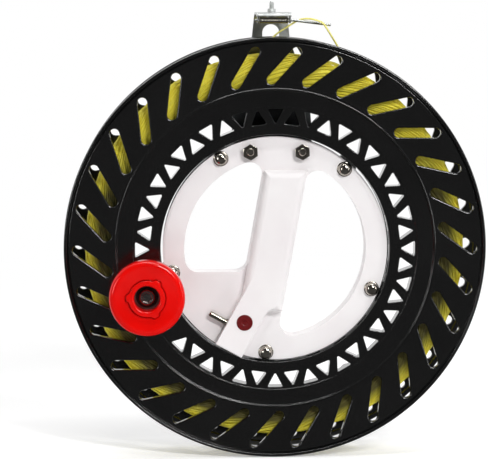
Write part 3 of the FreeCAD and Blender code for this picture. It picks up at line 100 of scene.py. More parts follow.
def endMaterial(tree, sockets):
    shader = addNode(tree, "ShaderNodeBsdfPrincipled", sockets)
    addNode(tree, "ShaderNodeOutputMaterial", {"Surface": shader})


# Noise whose features have a size in millimetres, spread between two values.
def mottled(tree, place, size, low=0.0, high=1.0, detail=3.0):
    noise = addNode(tree, "ShaderNodeTexNoise", {"Vector": place, "Scale": 1000 / size, "Detail": detail})
    return addNode(tree, "ShaderNodeMapRange", {"Value": noise, "From Min": 0.3, "From Max": 0.7,
                                                "To Min": low, "To Max": high})


# A relief of noise, its size and depth in millimetres.
def embossed(tree, place, size, depth, detail=3.0):
    noise = addNode(tree, "ShaderNodeTexNoise", {"Vector": place, "Scale": 1000 / size, "Detail": detail})
    return addNode(tree, "ShaderNodeBump", {"Height": noise, "Distance": depth * mm, "Strength": 1.0})


# Two tones in clouds, a roughness that drifts between two values, and a relief. The sizes of the clouds and
# of the drift are in millimetres. Extra may change any socket by its place.
def makeFinish(name, tones, cloud, rough, drift, detail=3.0, relief=None, fixed=None, extra=None):
    material, tree, place = startMaterial(name)
    tone = addNode(tree, "ShaderNodeMix", {0: mottled(tree, place, cloud), 6: tones[0], 7: tones[1]},
                   data_type="RGBA")
    sockets = {"Base Color": tone.outputs[2], "Roughness": mottled(tree, place, drift, *rough, detail)}
    sockets.update(fixed or {})
    if relief:
        sockets["Normal"] = embossed(tree, place, **relief)
    if extra:
        sockets.update(extra(tree, place, tone.outputs[2]))
    endMaterial(tree, sockets)
    return material


# Painted shade darkens the steel that stands inside the wheel, below a height. Fine rolling lines run up the
# sheet.
def shadedInside(tree, place, tone):
    look = {"shadeTone": "#24272A", "low": 100, "high": 108, "share": 0.9, "stretch": 0.06, "line": 0.7,
            "depth": 0.01}
    up = addNode(tree, "ShaderNodeSeparateXYZ", {"Vector": place}).outputs["Z"]
    # Painted shade: the steel turns darker below a height, where it stands inside the wheel.
    inside = addNode(tree, "ShaderNodeMapRange", {
        "Value": up, "From Min": look["low"] * mm, "From Max": look["high"] * mm, "To Min": look["share"],
        "To Max": 0.0})
    mix = addNode(tree, "ShaderNodeMix", {0: inside, 6: tone, 7: look["shadeTone"]}, data_type="RGBA")
    long = addNode(tree, "ShaderNodeMapping", {"Vector": place, "Scale": (1.0, 1.0, look["stretch"])})
    return {"Base Color": mix.outputs[2], "Normal": embossed(tree, long, look["line"], look["depth"])}


# Outside its rubber seal a bearing shows a steel rim round the knob's axis.
def steelRim(tree, place, tone):
    look = {"steel": "#8E8D8B", "rim": 5.7, "blur": 0.1}
    axis = tuple(inRow(*knobSpot, 0))
    centred = addNode(tree, "ShaderNodeVectorMath", {0: place, 1: axis}, operation="SUBTRACT")
    flat = addNode(tree, "ShaderNodeVectorMath", {0: centred, 1: (1.0, 0.0, 1.0)}, operation="MULTIPLY")
    away = addNode(tree, "ShaderNodeVectorMath", {0: flat}, operation="LENGTH").outputs["Value"]
    rim = addNode(tree, "ShaderNodeMapRange", {"Value": away, "From Min": look["rim"] * mm,
                                               "From Max": (look["rim"] + look["blur"]) * mm})
    mix = addNode(tree, "ShaderNodeMix", {0: rim, 6: tone, 7: look["steel"]}, data_type="RGBA")
    return {"Base Color": mix.outputs[2], "Metallic": rim}


# Braided polyester line: matt yellow with a fibrous glow, with painted shade between the plaits. The plaits of
# 0.4 mm are drawn 0.9 mm long, so that they show. Painted shade darkens the inner turns and is weaker towards
# the top of the wheel.
def makeLine(name, bright, shade, shadeShare, deepest):
    look = {"plait": 0.9, "uneven": 0.7, "depth": 0.05, "shadeFull": 91.5, "shadeNone": 96.8, "topFrom": 28,
            "topTo": 52, "topShade": 0.1}
    material, tree, place = startMaterial(name)
    braid = addNode(tree, "ShaderNodeTexVoronoi", {"Vector": place, "Scale": 1000 / look["plait"],
                                                   "Randomness": look["uneven"]})
    # The plaits' pattern, with painted shade towards their edges, between the plaits.
    plait = addNode(tree, "ShaderNodeMapRange", {"Value": braid, "From Min": 0.15, "From Max": 0.75})
    tone = addNode(tree, "ShaderNodeMix", {0: plait, 6: bright, 7: shade}, data_type="RGBA")
    parts = addNode(tree, "ShaderNodeSeparateXYZ", {"Vector": place}).outputs
    square = addNode(tree, "ShaderNodeMath", {0: parts["X"], 1: parts["X"]}, operation="MULTIPLY")
    square = addNode(tree, "ShaderNodeMath", {0: parts["Z"], 1: parts["Z"], 2: square},
                     operation="MULTIPLY_ADD")
    radius = addNode(tree, "ShaderNodeMath", {0: square}, operation="SQRT")
    # Painted shade: darker on the inner turns, and less of it towards the top of the wheel.
    deep = addNode(tree, "ShaderNodeMapRange", {
        "Value": radius, "From Min": look["shadeFull"] * mm, "From Max": look["shadeNone"] * mm, "To Min": shadeShare,
        "To Max": 0.0})
    towardsTop = addNode(tree, "ShaderNodeMapRange", {
        "Value": parts["Z"], "From Min": look["topFrom"] * mm, "From Max": look["topTo"] * mm,
        "To Min": 1.0, "To Max": look["topShade"]})
    paintedShade = addNode(tree, "ShaderNodeMath", {0: deep, 1: towardsTop}, operation="MULTIPLY")
    tone = addNode(tree, "ShaderNodeMix", {0: paintedShade, 6: tone.outputs[2], 7: deepest}, data_type="RGBA")
    bump = addNode(tree, "ShaderNodeBump", {"Height": braid, "Distance": look["depth"] * mm, "Strength": 1.0})
    endMaterial(tree, {"Base Color": tone.outputs[2], "Normal": bump, "Roughness": 0.62, "IOR": 1.55,
                       "Sheen Weight": 0.15})
    return material


knobSpot = (-66.764, -21.693)
metal = {"Metallic": 1.0}

finishes = {
    # ABS moulded in a polished tool: deep black, clear reflections with faint flow marks and orange peel
    "black_abs": makeFinish("polishedBlackAbs", tones=("#060606", "#0C0C0C"), cloud=28, rough=(0.16, 0.2),
                            drift=12, detail=1, relief={"size": 3.0, "depth": 0.001, "detail": 1},
                            fixed={"IOR": 1.55, "Coat Weight": 0.7, "Coat Roughness": 0.16}),
    # white ABS with a satin tool finish: bright, a little cool in the shade, with soft highlights
    "white_abs": makeFinish("satinWhiteAbs", tones=("#F3F0F0", "#EDE8E9"), cloud=24, rough=(0.36, 0.48),
                            drift=7, detail=4, relief={"size": 0.9, "depth": 0.008, "detail": 2},
                            fixed={"IOR": 1.53}),
    # red polypropylene from a polished tool: saturated colour with sharp bright edges
    "red_abs": makeFinish("polishedRedPlastic", tones=("#E80803", "#DA0602"), cloud=15, rough=(0.12, 0.18),
                          drift=6, relief={"size": 2.5, "depth": 0.004, "detail": 1}, fixed={"IOR": 1.44}),
    # dull dark red nylon plug: almost no shine
    "dark_red": makeFinish("dullRedNylon", tones=("#600408", "#6E060B"), cloud=1.6, rough=(0.28, 0.4),
                           drift=2.5, relief={"size": 0.6, "depth": 0.02}, fixed={"IOR": 1.53}),
    # the line on the spool, the packed turns under it coloured near-black as painted shade, and its clean free
    # end
    "kite_line": makeLine("braidedYellowLine", "#FFF75A", "#F6E624", 0.9, "#221B06"),
    "packed_line": makeLine("packedYellowLine", "#382F03", "#1E1902", 0.95, "#0C0A02"),
    "free_line": makeLine("cleanYellowLine", "#FFF9A6", "#F9EF78", 0.0, "#221B06"),
    # bright nickel plate on turned steel: near-mirror with faint turning and handling marks
    "nickel": makeFinish("brightNickelPlate", tones=("#C4BEB4", "#9F988E"), cloud=2.4, rough=(0.08, 0.2),
                         drift=1.5, detail=4, relief={"size": 0.8, "depth": 0.006}, fixed=metal),
    # zinc plate on sheet steel: pale grey with an uneven sheen, darkened by painted shade inside the wheel
    "zinc_steel": makeFinish("blueZincPlate", tones=("#D6D8D6", "#B4B8B7"), cloud=5, rough=(0.32, 0.5),
                             drift=3, detail=4, fixed=metal, extra=shadedInside),
    # ground bearing steel: clean grey metal with a fine even finish
    "bearing_steel": makeFinish("groundBearingSteel", tones=("#C6C6C4", "#A4A5A6"), cloud=1.8,
                                rough=(0.2, 0.34), drift=0.7, detail=2, fixed=metal),
    # ball bearings closed with dull black rubber
    "sealed_bearing": makeFinish("rubberSealedBearing", tones=("#15110F", "#201A17"), cloud=1.2,
                                 rough=(0.34, 0.5), drift=0.8, extra=steelRim),
    # blackened steel of a socket screw, rubbed bright enough to catch the light
    "dark_steel": makeFinish("blackenedSteel", tones=("#7C7472", "#9A9290"), cloud=1.6, rough=(0.2, 0.34),
                             drift=0.9, fixed=metal)}
print("materials", len(finishes))


# ---- free line, over the guide's arm and back to the winding

freeLine = {"length": 0.0735, "diameter": 0.001, "route": [
    (-6.8, 99.72, 3.0), (-5.2, 104.0, 4.6), (-2.8, 108.0, 6.6), (0.4, 111.5, 8.2), (4.2, 114.0, 9.3),
    (8.2, 116.6, 10.1), (12.2, 119.1, 11.3), (16.6, 119.6, 13.4), (20.6, 118.8, 14.6), (24.2, 117.4, 14.8),
    (26.6, 113.9, 12.6), (29.0, 110.4, 9.5), (31.6, 106.6, 6.6), (34.0, 102.6, 4.2), (35.6, 98.0, 2.4),
    (36.6, 93.0, 1.0)]}

lineCurve = bpy.data.curves.new("freeLine", "CURVE")
lineCurve.dimensions = "3D"
lineSpline = lineCurve.splines.new("NURBS")
lineSpline.points.add(len(freeLine["route"]) - 1)
for point, spot in zip(lineSpline.points, freeLine["route"]):
    point.co = (*inRow(*spot), 1.0)
lineSpline.order_u = 3
lineSpline.use_endpoint_u = True
lineSpline.resolution_u = 8
lineCurve.bevel_depth = freeLine["diameter"] / 2
lineCurve.bevel_resolution = 3
lineCurve.use_fill_caps = True
lineCurve.materials.append(finishes["free_line"])
lineObject = bpy.data.objects.new("freeLine", lineCurve)
scene.collection.objects.link(lineObject)
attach(lineObject, "hub")
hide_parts("kite_line")
print("free line")


# ---- helpers for meshes

def newObject(name, points, faces):
    mesh = bpy.data.meshes.new(name)
    mesh.from_pydata(points, [], faces)
    piece = bpy.data.objects.new(name, mesh)
    scene.collection.objects.link(piece)
    return piece


def dropObject(piece):
    mesh = piece.data
    bpy.data.objects.remove(piece)
    bpy.data.meshes.remove(mesh)


# Joins equal rows of points with quads, round in a loop where closed.
def stitch(cage, rows, closed=True):
    points, faces = cage
    width = len(rows[0])
    for row in rows:
        points.extend(row)
    start = len(points) - width * len(rows)
    for level in range(len(rows) - 1):
        for column in range(width if closed else width - 1):
            a = start + level * width + column
            b = start + level * width + (column + 1) % width
            faces.append((a, b, b + width, a + width))


# Shades a piece smooth, with edges over the angle left sharp.
def smoothed(piece, sharp):
    piece.data.shade_smooth()
    piece.data.set_sharp_from_angle(angle=math.radians(sharp))
    return piece


# Merges doubles, turns the faces outwards unless they already are, and shades the piece.
def cleanMesh(piece, sharp=38.0, merge=0.002, turned=False):
    work = bmesh.new()
    work.from_mesh(piece.data)
    bmesh.ops.remove_doubles(work, verts=work.verts, dist=merge * mm)
    bmesh.ops.dissolve_degenerate(work, edges=work.edges, dist=merge * mm)
    if not turned:
        bmesh.ops.recalc_face_normals(work, faces=work.faces)
    work.to_mesh(piece.data)
    work.free()
    return smoothed(piece, sharp)


# Turns what the modifiers make into the piece's plain mesh.
def settle(piece):
    graph = bpy.context.evaluated_depsgraph_get()
    made = bpy.data.meshes.new_from_object(piece.evaluated_get(graph))
    piece.modifiers.clear()
    old = piece.data
    piece.data = made
    bpy.data.meshes.remove(old)
    made.name = piece.name


def joinPieces(name, pieces):
    work = bmesh.new()
    for piece in pieces:
        work.from_mesh(piece.data)
    mesh = bpy.data.meshes.new(name)
    work.to_mesh(mesh)
    work.free()
    for piece in pieces:
        dropObject(piece)
    joined = bpy.data.objects.new(name, mesh)
    scene.collection.objects.link(joined)
    return joined


replaced = {"kite_line", "line_winding"}


def finishPiece(piece, body, slot, node):
    piece.data.materials.clear()
    piece.data.materials.append(finishes[slot])
    even = piece.modifiers.new("even", "WEIGHTED_NORMAL")
    even.keep_sharp = True
    even.weight = 70
    settle(piece)
    replaced.add(node)
    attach(piece, body)
    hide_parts(node)


# Corners of a profile given as (out, along, radius): each corner is rounded with its radius.
def roundedPath(corners, steps=4):
    path = []
    for index, (out, along, radius) in enumerate(corners):
        corner = Vector((out, along))
        if radius <= 0 or index in (0, len(corners) - 1):
            path.append((out, along))
            continue
        before = (corner - Vector(corners[index - 1][:2])).normalized()
        after = (Vector(corners[index + 1][:2]) - corner).normalized()
        turn = before.angle_signed(after)
        back = radius * math.tan(abs(turn) / 2)
        start = corner - before * back
        side = Vector((-before.y, before.x)) * (1 if turn < 0 else -1)
        centre = start + side * radius
        for step in range(steps + 1):
            arm = start - centre
            arm.rotate(Matrix.Rotation(-turn * step / steps, 2))
            path.append(tuple(centre + arm))
    return path


# Rows round an axis; a row is (radius, along), and each can be a number or a function of the angle.
def ringRows(rows, columns, centre=(0, 0, 0), axis="forward", turn=0.0):
    made = []
    for radius, along in rows:
        row = []
        for column in range(columns):
            angle = 360 * column / columns
            out = radius(angle) if callable(radius) else radius
            level = along(angle) if callable(along) else along
            u = out * math.cos(math.radians(angle + turn))
            v = out * math.sin(math.radians(angle + turn))
            x, y, z = {"forward": (u, v, level), "right": (level, u, v), "up": (v, level, u)}[axis]
            row.append(inRow(centre[0] + x, centre[1] + y, centre[2] + z))
        made.append(row)
    return made


# A solid turned about an axis. The profile runs once round when closed is set, or from pole to pole.
def turnedPiece(name, rows, columns=64, centre=(0, 0, 0), axis="forward", turn=0.0, closed=False, sharp=38.0):
    cage = ([], [])
    rings = ringRows(rows, columns, centre, axis, turn)
    stitch(cage, rings + rings[:1] if closed else rings)
    return cleanMesh(newObject(name, *cage), sharp)


def hexagon(flats):
    return lambda angle: flats / 2 / math.cos(math.radians((angle + 30) % 60 - 30))


# ---- node trees

def startGroup(name, inputs, output):
    tree = bpy.data.node_groups.new(name, "GeometryNodeTree")
    for socket, kind in inputs:
        tree.interface.new_socket(socket, in_out="INPUT", socket_type="NodeSocket" + kind)
    tree.interface.new_socket(output, in_out="OUTPUT", socket_type="NodeSocketGeometry")
    return tree, addNode(tree, "NodeGroupInput").outputs


# Makes the geometry real, gives it its material and sends it out.
def endGroup(tree, geometry, finish, output):
    real = addNode(tree, "GeometryNodeRealizeInstances", {"Geometry": geometry})
    dressed = addNode(tree, "GeometryNodeSetMaterial", {"Geometry": real, "Material": finish})
    addNode(tree, "NodeGroupOutput", {output: dressed})


# Runs a node tree on an object with the given inputs and keeps the plain mesh.
def runTree(host, tree, values):
    modifier = host.modifiers.new("nodes", "NODES")
    modifier.node_group = tree
    for item in tree.interface.items_tree:
        if item.item_type == "SOCKET" and item.in_out == "INPUT" and item.name in values:
            modifier[item.identifier] = values[item.name]
    settle(host)


# Sets a piece at spots and turns each copy on about the wheel's axis.
def makeSpreadTree():
    tree, given = startGroup("spreadPieces", (
        ("Spots", "Geometry"), ("Piece", "Object"), ("First Angle", "Float"), ("Angle Step", "Float"),
        ("Finish", "Material")), "Pieces")
    index = addNode(tree, "GeometryNodeInputIndex")
    angle = addNode(tree, "ShaderNodeMath", {0: index, 1: given["Angle Step"], 2: given["First Angle"]},
                    operation="MULTIPLY_ADD")
    turn = addNode(tree, "ShaderNodeMath", {0: angle, 1: -math.pi / 180}, operation="MULTIPLY")
    spin = addNode(tree, "ShaderNodeCombineXYZ", {"Y": turn})
    piece = addNode(tree, "GeometryNodeObjectInfo", {"Object": given["Piece"]}).outputs["Geometry"]
    copies = addNode(tree, "GeometryNodeInstanceOnPoints", {"Points": given["Spots"], "Instance": piece,
                                                            "Rotation": spin})
    endGroup(tree, copies, given["Finish"], "Pieces")
    return tree


spreadTree = makeSpreadTree()


def spreadPiece(name, piece, spots, slot, first=0.0, step=0.0):
    host = newObject(name, spots, [])
    runTree(host, spreadTree, {"Piece": piece, "First Angle": float(first), "Angle Step": float(step),
                               "Finish": finishes[slot]})
    dropObject(piece)
    return host


def spreadRound(name, piece, count, slot, first=0.0, step=None):
    return spreadPiece(name, piece, [(0, 0, 0)] * count, slot, first, 360 / count if step is None else step)


# ---- the wheel's two discs, each from one sector that is repeated

# Profiles are rows of (radius, level, corner radius).
disc = {
    "slots": 30, "slotWidth": 5.0, "slotInner": (88.19, 91.4), "slotOuter": (102.96, 83.98),
    "cellInner": 83.9, "beadFoot": 107.05, "backInner": 83.25, "backOuter": 106.9, "innerFirst": 88.0,
    "outerFirst": 75.7, "columns": 12, "rows": 8, "edgeRound": 0.68, "backRound": 0.2, "ridgeFront": 13.81,
    "flangeFront": 14.2, "flangeBack": 11.0, "junction": 77.0, "bandFront": 13.0, "jointShift": 0.5,
    "bead": [(107.05, 14.2, 0), (107.3, 14.2, 0.5), (107.9, 13.5, 0.15), (108.5, 15.0, 0.6),
             (110.0, 15.0, 0.75), (110.0, 10.4, 0.75), (107.5, 10.4, 0.3), (106.9, 11.0, 0)],
    "rib": [(83.9, 13.81, 0), (83.6, 14.25, 0.48), (82.75, 14.25, 0.58), (82.45, 13.0, 0.4), (81.0, 13.0, 0)],
    "rearBand": [(80.5, 13.0), (80.2, 12.7), (80.2, 11.0), (83.25, 11.0)],
    "groove": [(80.15, 11.0), (80.15, 11.6), (83.25, 11.6), (83.25, 11.0)]}

# The ring of triangles has 24 pairs: one that points in, one that points out. A notch for the lock's bolt
# lies behind each pair. Rows says how many have both triangles open, one open or none, and their first angle.
truss = {
    "pitch": 15, "rows": {"trussOpen": (True, True, 21, 225), "trussHalf": (True, False, 1, 180),
                          "trussClosed": (False, False, 2, 195)},
    "apexIn": 65.25, "base": 73.05, "halfBase": 4.15, "cornerRound": 0.55, "edgeRound": 0.32,
    "backRound": 0.14, "front": 12.5, "back": 4.5, "cellInner": 64.3, "cellOuter": 73.9, "backInner": 65.0,
    "backOuter": 75.3, "innerHalf": 1.93, "outerHalf": 5.38, "cellRows": 5, "columns": (4, 11),
    "jointFirst": -5.5, "bore": 59.8, "notchFloor": 63.7, "notchTop": 10.1, "notchLow": 7.3,
    "notchAngle": 5.03, "notchHalf": 3.5, "notchColumns": (4, 6, 5),
    "step": [(73.9, 12.5, 0), (74.1, 12.5, 0.12), (74.35, 13.0, 0.25), (75.2, 13.0, 0)],
    "face": [(64.3, 12.5, 0), (59.8, 12.5, 0.45), (59.8, 11.2, 0)],
    "race": [(59.8, 4.8), (61.55, 4.8), (61.55, -0.8), (59.8, -0.8), (59.8, -3.7), (60.1, -4.0)],
    "rear": [(64.6, -4.0), (65.0, -3.6), (65.0, 4.5)]}

knobPad = [(0, 4.6, 0), (7.6, 4.6, 0), (8.0, 5.0, 0), (8.0, 14.6, 0.7), (5.6, 14.6, 0.3), (5.2, 14.4, 0.2),
           (0, 14.4, 0)]
coreLobe = {"out": 79.4, "count": 6,
            "rows": [(0, -13.2, 0), (3.2, -13.2, 0.4), (3.2, -10.95, 0), (0, -10.95, 0)]}


def onCircle(radius, angle):
    a = math.radians(angle)
    return Vector((radius * math.cos(a), radius * math.sin(a)))


def between(first, last, count):
    return [first + (last - first) * i / count for i in range(count + 1)]


# Outline of a sector's cell in the disc's plane: inner arc, far side, outer arc back and near side.
def cellOutline(innerRadius, innerAngles, outerRadius, outerAngles, rows):
    def side(end, steps):
        return [onCircle(innerRadius + (outerRadius - innerRadius) * i / rows,
                         innerAngles[end] + (outerAngles[end] - innerAngles[end]) * i / rows) for i in steps]

    return ([onCircle(innerRadius, a) for a in innerAngles] + side(-1, range(1, rows))
            + [onCircle(outerRadius, a) for a in reversed(outerAngles)] + side(0, range(rows - 1, 0, -1)))


# Outline of a slot, each point with the direction that leads out of the hole.
def slotOutline(rows, arcs):
    start, end = onCircle(*disc["slotInner"]), onCircle(*disc["slotOuter"])
    along = (end - start).normalized()
    side = Vector((-along.y, along.x))
    half = disc["slotWidth"] / 2
    outline = []
    for first, last, sign in ((start, end, 1), (end, start, -1)):
        for i in range(arcs + 1):
            t = math.pi * i / arcs
            way = (-side * math.cos(t) - along * math.sin(t)) * sign
            outline.append((first + way * half, way))
        outline += [(first.lerp(last, i / rows) + side * half * sign, side * sign) for i in range(1, rows)]
    return outline


# Outline of a triangle with rounded corners, run clockwise, each point with the direction out of the hole.
def triangleOutline(corners, radius, arcs, sides):
    outline = []
    count = len(corners)
    for i, corner in enumerate(corners):
        before = (corner - corners[i - 1]).normalized()
        after = (corners[(i + 1) % count] - corner).normalized()
        turn = math.acos(max(-1, min(1, before.dot(after))))
        centre = corner - before * radius * math.tan(turn / 2) - Vector((-before.y, before.x)) * radius
        end = None
        for step in range(arcs[i] + 1):
            way = Vector((-before.y, before.x))
            way.rotate(Matrix.Rotation(-turn * step / arcs[i], 2))
            end = centre + way * radius
            outline.append((end, way))
        following = corners[(i + 1) % count]
        onward = (corners[(i + 2) % count] - following).normalized()
        nextTurn = math.acos(max(-1, min(1, after.dot(onward))))
        target = following - after * radius * math.tan(nextTurn / 2)
        way = Vector((-after.y, after.x))
        outline += [(end.lerp(target, step / sides[i]), way) for step in range(1, sides[i])]
    return outline


# A plate cell with a hole whose edges are rounded in front and behind.
def plateCell(cage, front, back, hole, frontLevel, backLevel, frontRound, backRound, margin=0.3, steps=3):
    def lifted(points, level):
        return [inRow(p.x, p.y, level(p.length)) for p in points]

    def grown(amount):
        return [p + way * amount for p, way in hole]

    near = grown(frontRound + margin)
    rows = [lifted(front, frontLevel), lifted([a.lerp(b, 0.5) for a, b in zip(front, near)], frontLevel),
            lifted(near, frontLevel)]
    for edge, level, sign, order in ((frontRound, frontLevel, -1, 1), (backRound, backLevel, 1, -1)):
        for step in range(steps + 1)[::order]:
            t = math.pi / 2 * step / steps
            drop = edge * (1 - math.cos(t)) * sign
            rows.append(lifted(grown(edge * (1 - math.sin(t))), lambda r: level(r) + drop))
    rows.append(lifted(back, backLevel))
    stitch(cage, rows)


# A cell without a hole: its front and its back are closed.
def closedCell(cage, front, back, frontLevel, backLevel):
    for outline, level in ((front, frontLevel), (back, backLevel)):
        centre = sum(outline, Vector((0, 0))) / len(outline)
        rings = [[p.lerp(centre, share) for p in outline] for share in (0, 0.5, 1)]
        stitch(cage, [[inRow(p.x, p.y, level(p.length)) for p in ring] for ring in rings])


def arcStrip(cage, rows):
    stitch(cage, [[inRow(*onCircle(r, a), level) for a in angles] for r, level, angles in rows], False)


# A disc's flange with its slots; strips are further rows of (radius, level, angle shift) inside the slots.
def makeFlange(name, *strips):
    cage = ([], [])
    d = disc
    sector = 360 / d["slots"]
    inner = between(d["innerFirst"], d["innerFirst"] + sector, d["columns"])
    outer = between(d["outerFirst"], d["outerFirst"] + sector, d["columns"])
    front = cellOutline(d["cellInner"], inner, d["beadFoot"], outer, d["rows"])
    back = cellOutline(d["backInner"], inner, d["backOuter"], outer, d["rows"])
    slope = (d["flangeFront"] - d["ridgeFront"]) / (d["beadFoot"] - d["cellInner"])
    plateCell(cage, front, back, slotOutline(d["rows"], d["columns"]),
              lambda r: d["ridgeFront"] + slope * (r - d["cellInner"]), lambda r: d["flangeBack"],
              d["edgeRound"], d["backRound"])
    arcStrip(cage, [(r, z, outer) for r, z in roundedPath(d["bead"])])
    for strip in strips:
        arcStrip(cage, [(r, z, [a + shift for a in inner]) for r, z, shift in strip])
    return spreadRound(name, newObject(name + "Sector", *cage), d["slots"], "black_abs")


# Rows without an angle shift.
def straight(path):
    return [(r, z, 0.0) for r, z in path]


def makeFrontFlange():
    d = disc
    front, back = ([(d["junction"], level, d["jointShift"])] for level in (d["bandFront"], d["flangeBack"]))
    return makeFlange("frontFlange", straight(roundedPath(d["rib"])) + front, back + straight(d["groove"]))


def makeTrussSector(name, openIn, openOut):
    cage = ([], [])
    t = truss
    few, many = t["columns"]
    innerA = between(-t["innerHalf"], t["innerHalf"], few)
    innerB = between(t["innerHalf"], t["pitch"] - t["innerHalf"], many)
    outerA = between(-t["outerHalf"], t["outerHalf"], many)
    outerB = between(t["outerHalf"], t["pitch"] - t["outerHalf"], few)
    inner, outer = innerA + innerB[1:], outerA + outerB[1:]
    joint = between(t["jointFirst"], t["jointFirst"] + t["pitch"], few + many)
    frontLevel, backLevel = (lambda r: t["front"]), (lambda r: t["back"])
    n = t["cellRows"]
    half, turn = t["halfBase"], Matrix.Rotation(math.radians(t["pitch"] / 2), 2)
    pointsIn = [Vector((t["apexIn"], 0)), Vector((t["base"], half)), Vector((t["base"], -half))]
    pointsOut = [turn @ Vector(v) for v in ((t["apexIn"], -half), (t["apexIn"], half), (t["base"], 0))]
    # the steps at the corners and along the sides give each hole as many points as its cell
    cells = ((openIn, innerA, outerA, pointsIn, (4, 3, 3), (n - 1, 7, n - 1), 0),
             (openOut, innerB, outerB, pointsOut, (3, 3, 4), (7, n - 1, n - 1), 1))
    for isOpen, innerAngles, outerAngles, corners, arcs, sides, offset in cells:
        front = cellOutline(t["cellInner"], innerAngles, t["cellOuter"], outerAngles, n)
        back = cellOutline(t["backInner"], innerAngles, t["backOuter"], outerAngles, n)
        if not isOpen:
            closedCell(cage, front, back, frontLevel, backLevel)
            continue
        hole = triangleOutline(corners, t["cornerRound"], arcs, sides)
        hole = hole[offset:] + hole[:offset]
        plateCell(cage, front, back, hole, frontLevel, backLevel, t["edgeRound"], t["backRound"])
    arcStrip(cage, [(r, z, outer) for r, z in roundedPath(t["step"])]
             + [(disc["junction"], disc["bandFront"], joint)])
    arcStrip(cage, [(t["backOuter"], t["back"], outer), (t["backOuter"], disc["flangeBack"], outer),
                    (disc["junction"], disc["flangeBack"], joint)])
    # the bore's columns are moved so that two of them are a notch's sides
    bore, top, low, floor, middle = t["bore"], t["notchTop"], t["notchLow"], t["notchFloor"], t["notchAngle"]
    half, deepHalf = (math.degrees(math.asin(t["notchHalf"] / radius)) for radius in (bore, floor))
    before, across, after = t["notchColumns"]
    notched = (between(inner[0], middle - half, before) + between(middle - half, middle + half, across)[1:]
               + between(middle + half, inner[-1], after)[1:])
    arcStrip(cage, [(t["cellInner"], t["front"], inner)]
             + [(r, z, notched) for r, z in roundedPath(t["face"])[1:]] + [(bore, top, notched)])
    mouth = notched[before:before + across + 1]
    for side in (notched[:before + 1], notched[before + across:]):
        arcStrip(cage, [(bore, z, side) for z in (top, low)])
    deep = between(middle - deepHalf, middle + deepHalf, across)
    pocket = [(bore, top, mouth), (floor, top, deep), (floor, low, deep), (bore, low, mouth)]
    arcStrip(cage, pocket)
    for end in (0, -1):
        wall = [inRow(*onCircle(r, angles[end]), z) for r, z, angles in pocket]
        cage[1].append(tuple(range(len(cage[0]), len(cage[0]) + 4)))
        cage[0].extend(wall)
    arcStrip(cage, [(bore, low, notched)] + [(r, z, notched) for r, z in t["race"]]
             + [(r, z, inner) for r, z in t["rear"]])
    return newObject(name, *cage)


def makeFrontDisc():
    parts = [makeFrontFlange()]
    for name, (openIn, openOut, count, first) in truss["rows"].items():
        sector = makeTrussSector(name, openIn, openOut)
        parts.append(spreadRound(name + "Row", sector, count, "black_abs", first, truss["pitch"]))
    wheel = joinPieces("frontDisc", parts)
    cleanMesh(wheel)
    pad = turnedPiece("knobPad", roundedPath(knobPad), columns=72, centre=(*knobSpot, 0))
    finishPiece(smoothed(joinPieces("frontDisc", [wheel, pad]), 38), "wheel", "black_abs", "front_disc")


def makeRearDisc():
    flange = makeFlange("rearDisc", straight(roundedPath(disc["rib"])[:-1] + disc["rearBand"]))
    flange.data.transform(Matrix.Rotation(math.pi, 4, "Z"))
    cleanMesh(flange)
    lobe = turnedPiece("lobe", roundedPath(coreLobe["rows"]), columns=40, centre=(coreLobe["out"], 0, 0))
    lobes = spreadRound("lobes", lobe, coreLobe["count"], "black_abs")
    finishPiece(smoothed(joinPieces("rearDisc", [flange, lobes]), 38), "wheel", "black_abs", "rear_disc")


makeFrontDisc()
makeRearDisc()
print("discs")


# ---- the wound line: a core of packed turns with crossing strands laid over it

# The section is a list of (radius, level). Round the angle swellAt the line is wound a little higher, by
# nothing at the radius swellFrom and by swell at swellFull. Swing is a full number and the golden section's
# share, which spreads the turns' crossings evenly.
winding = {"section": [(83.9, 8.4), (88.0, 9.5), (92.0, 10.2), (96.2, 10.1), (98.2, 8.4), (98.7, 4.2),
                       (98.7, -4.2), (98.2, -8.4), (96.2, -10.1), (92.0, -10.2), (88.0, -9.5), (83.9, -8.4)],
           "strand": 0.33, "turns": 55, "perTurn": 110, "swing": 2.381966, "scatter": 0.025, "wobble": 1.7,
           "seed": 7, "uneven": 0.5, "swell": 2.3, "swellAt": 85.0, "swellFrom": 88.0, "swellFull": 98.7,
           "coreInset": 1.1, "coreNarrow": 0.94, "coreFoot": 83.1, "coreColumns": 180}


def swollen(angle, out):
    w = winding
    rise = max(0.0, math.cos(math.radians(angle - w["swellAt"]))) ** 2 * w["swell"]
    return out + rise * max(0.0, (out - w["swellFrom"]) / (w["swellFull"] - w["swellFrom"]))


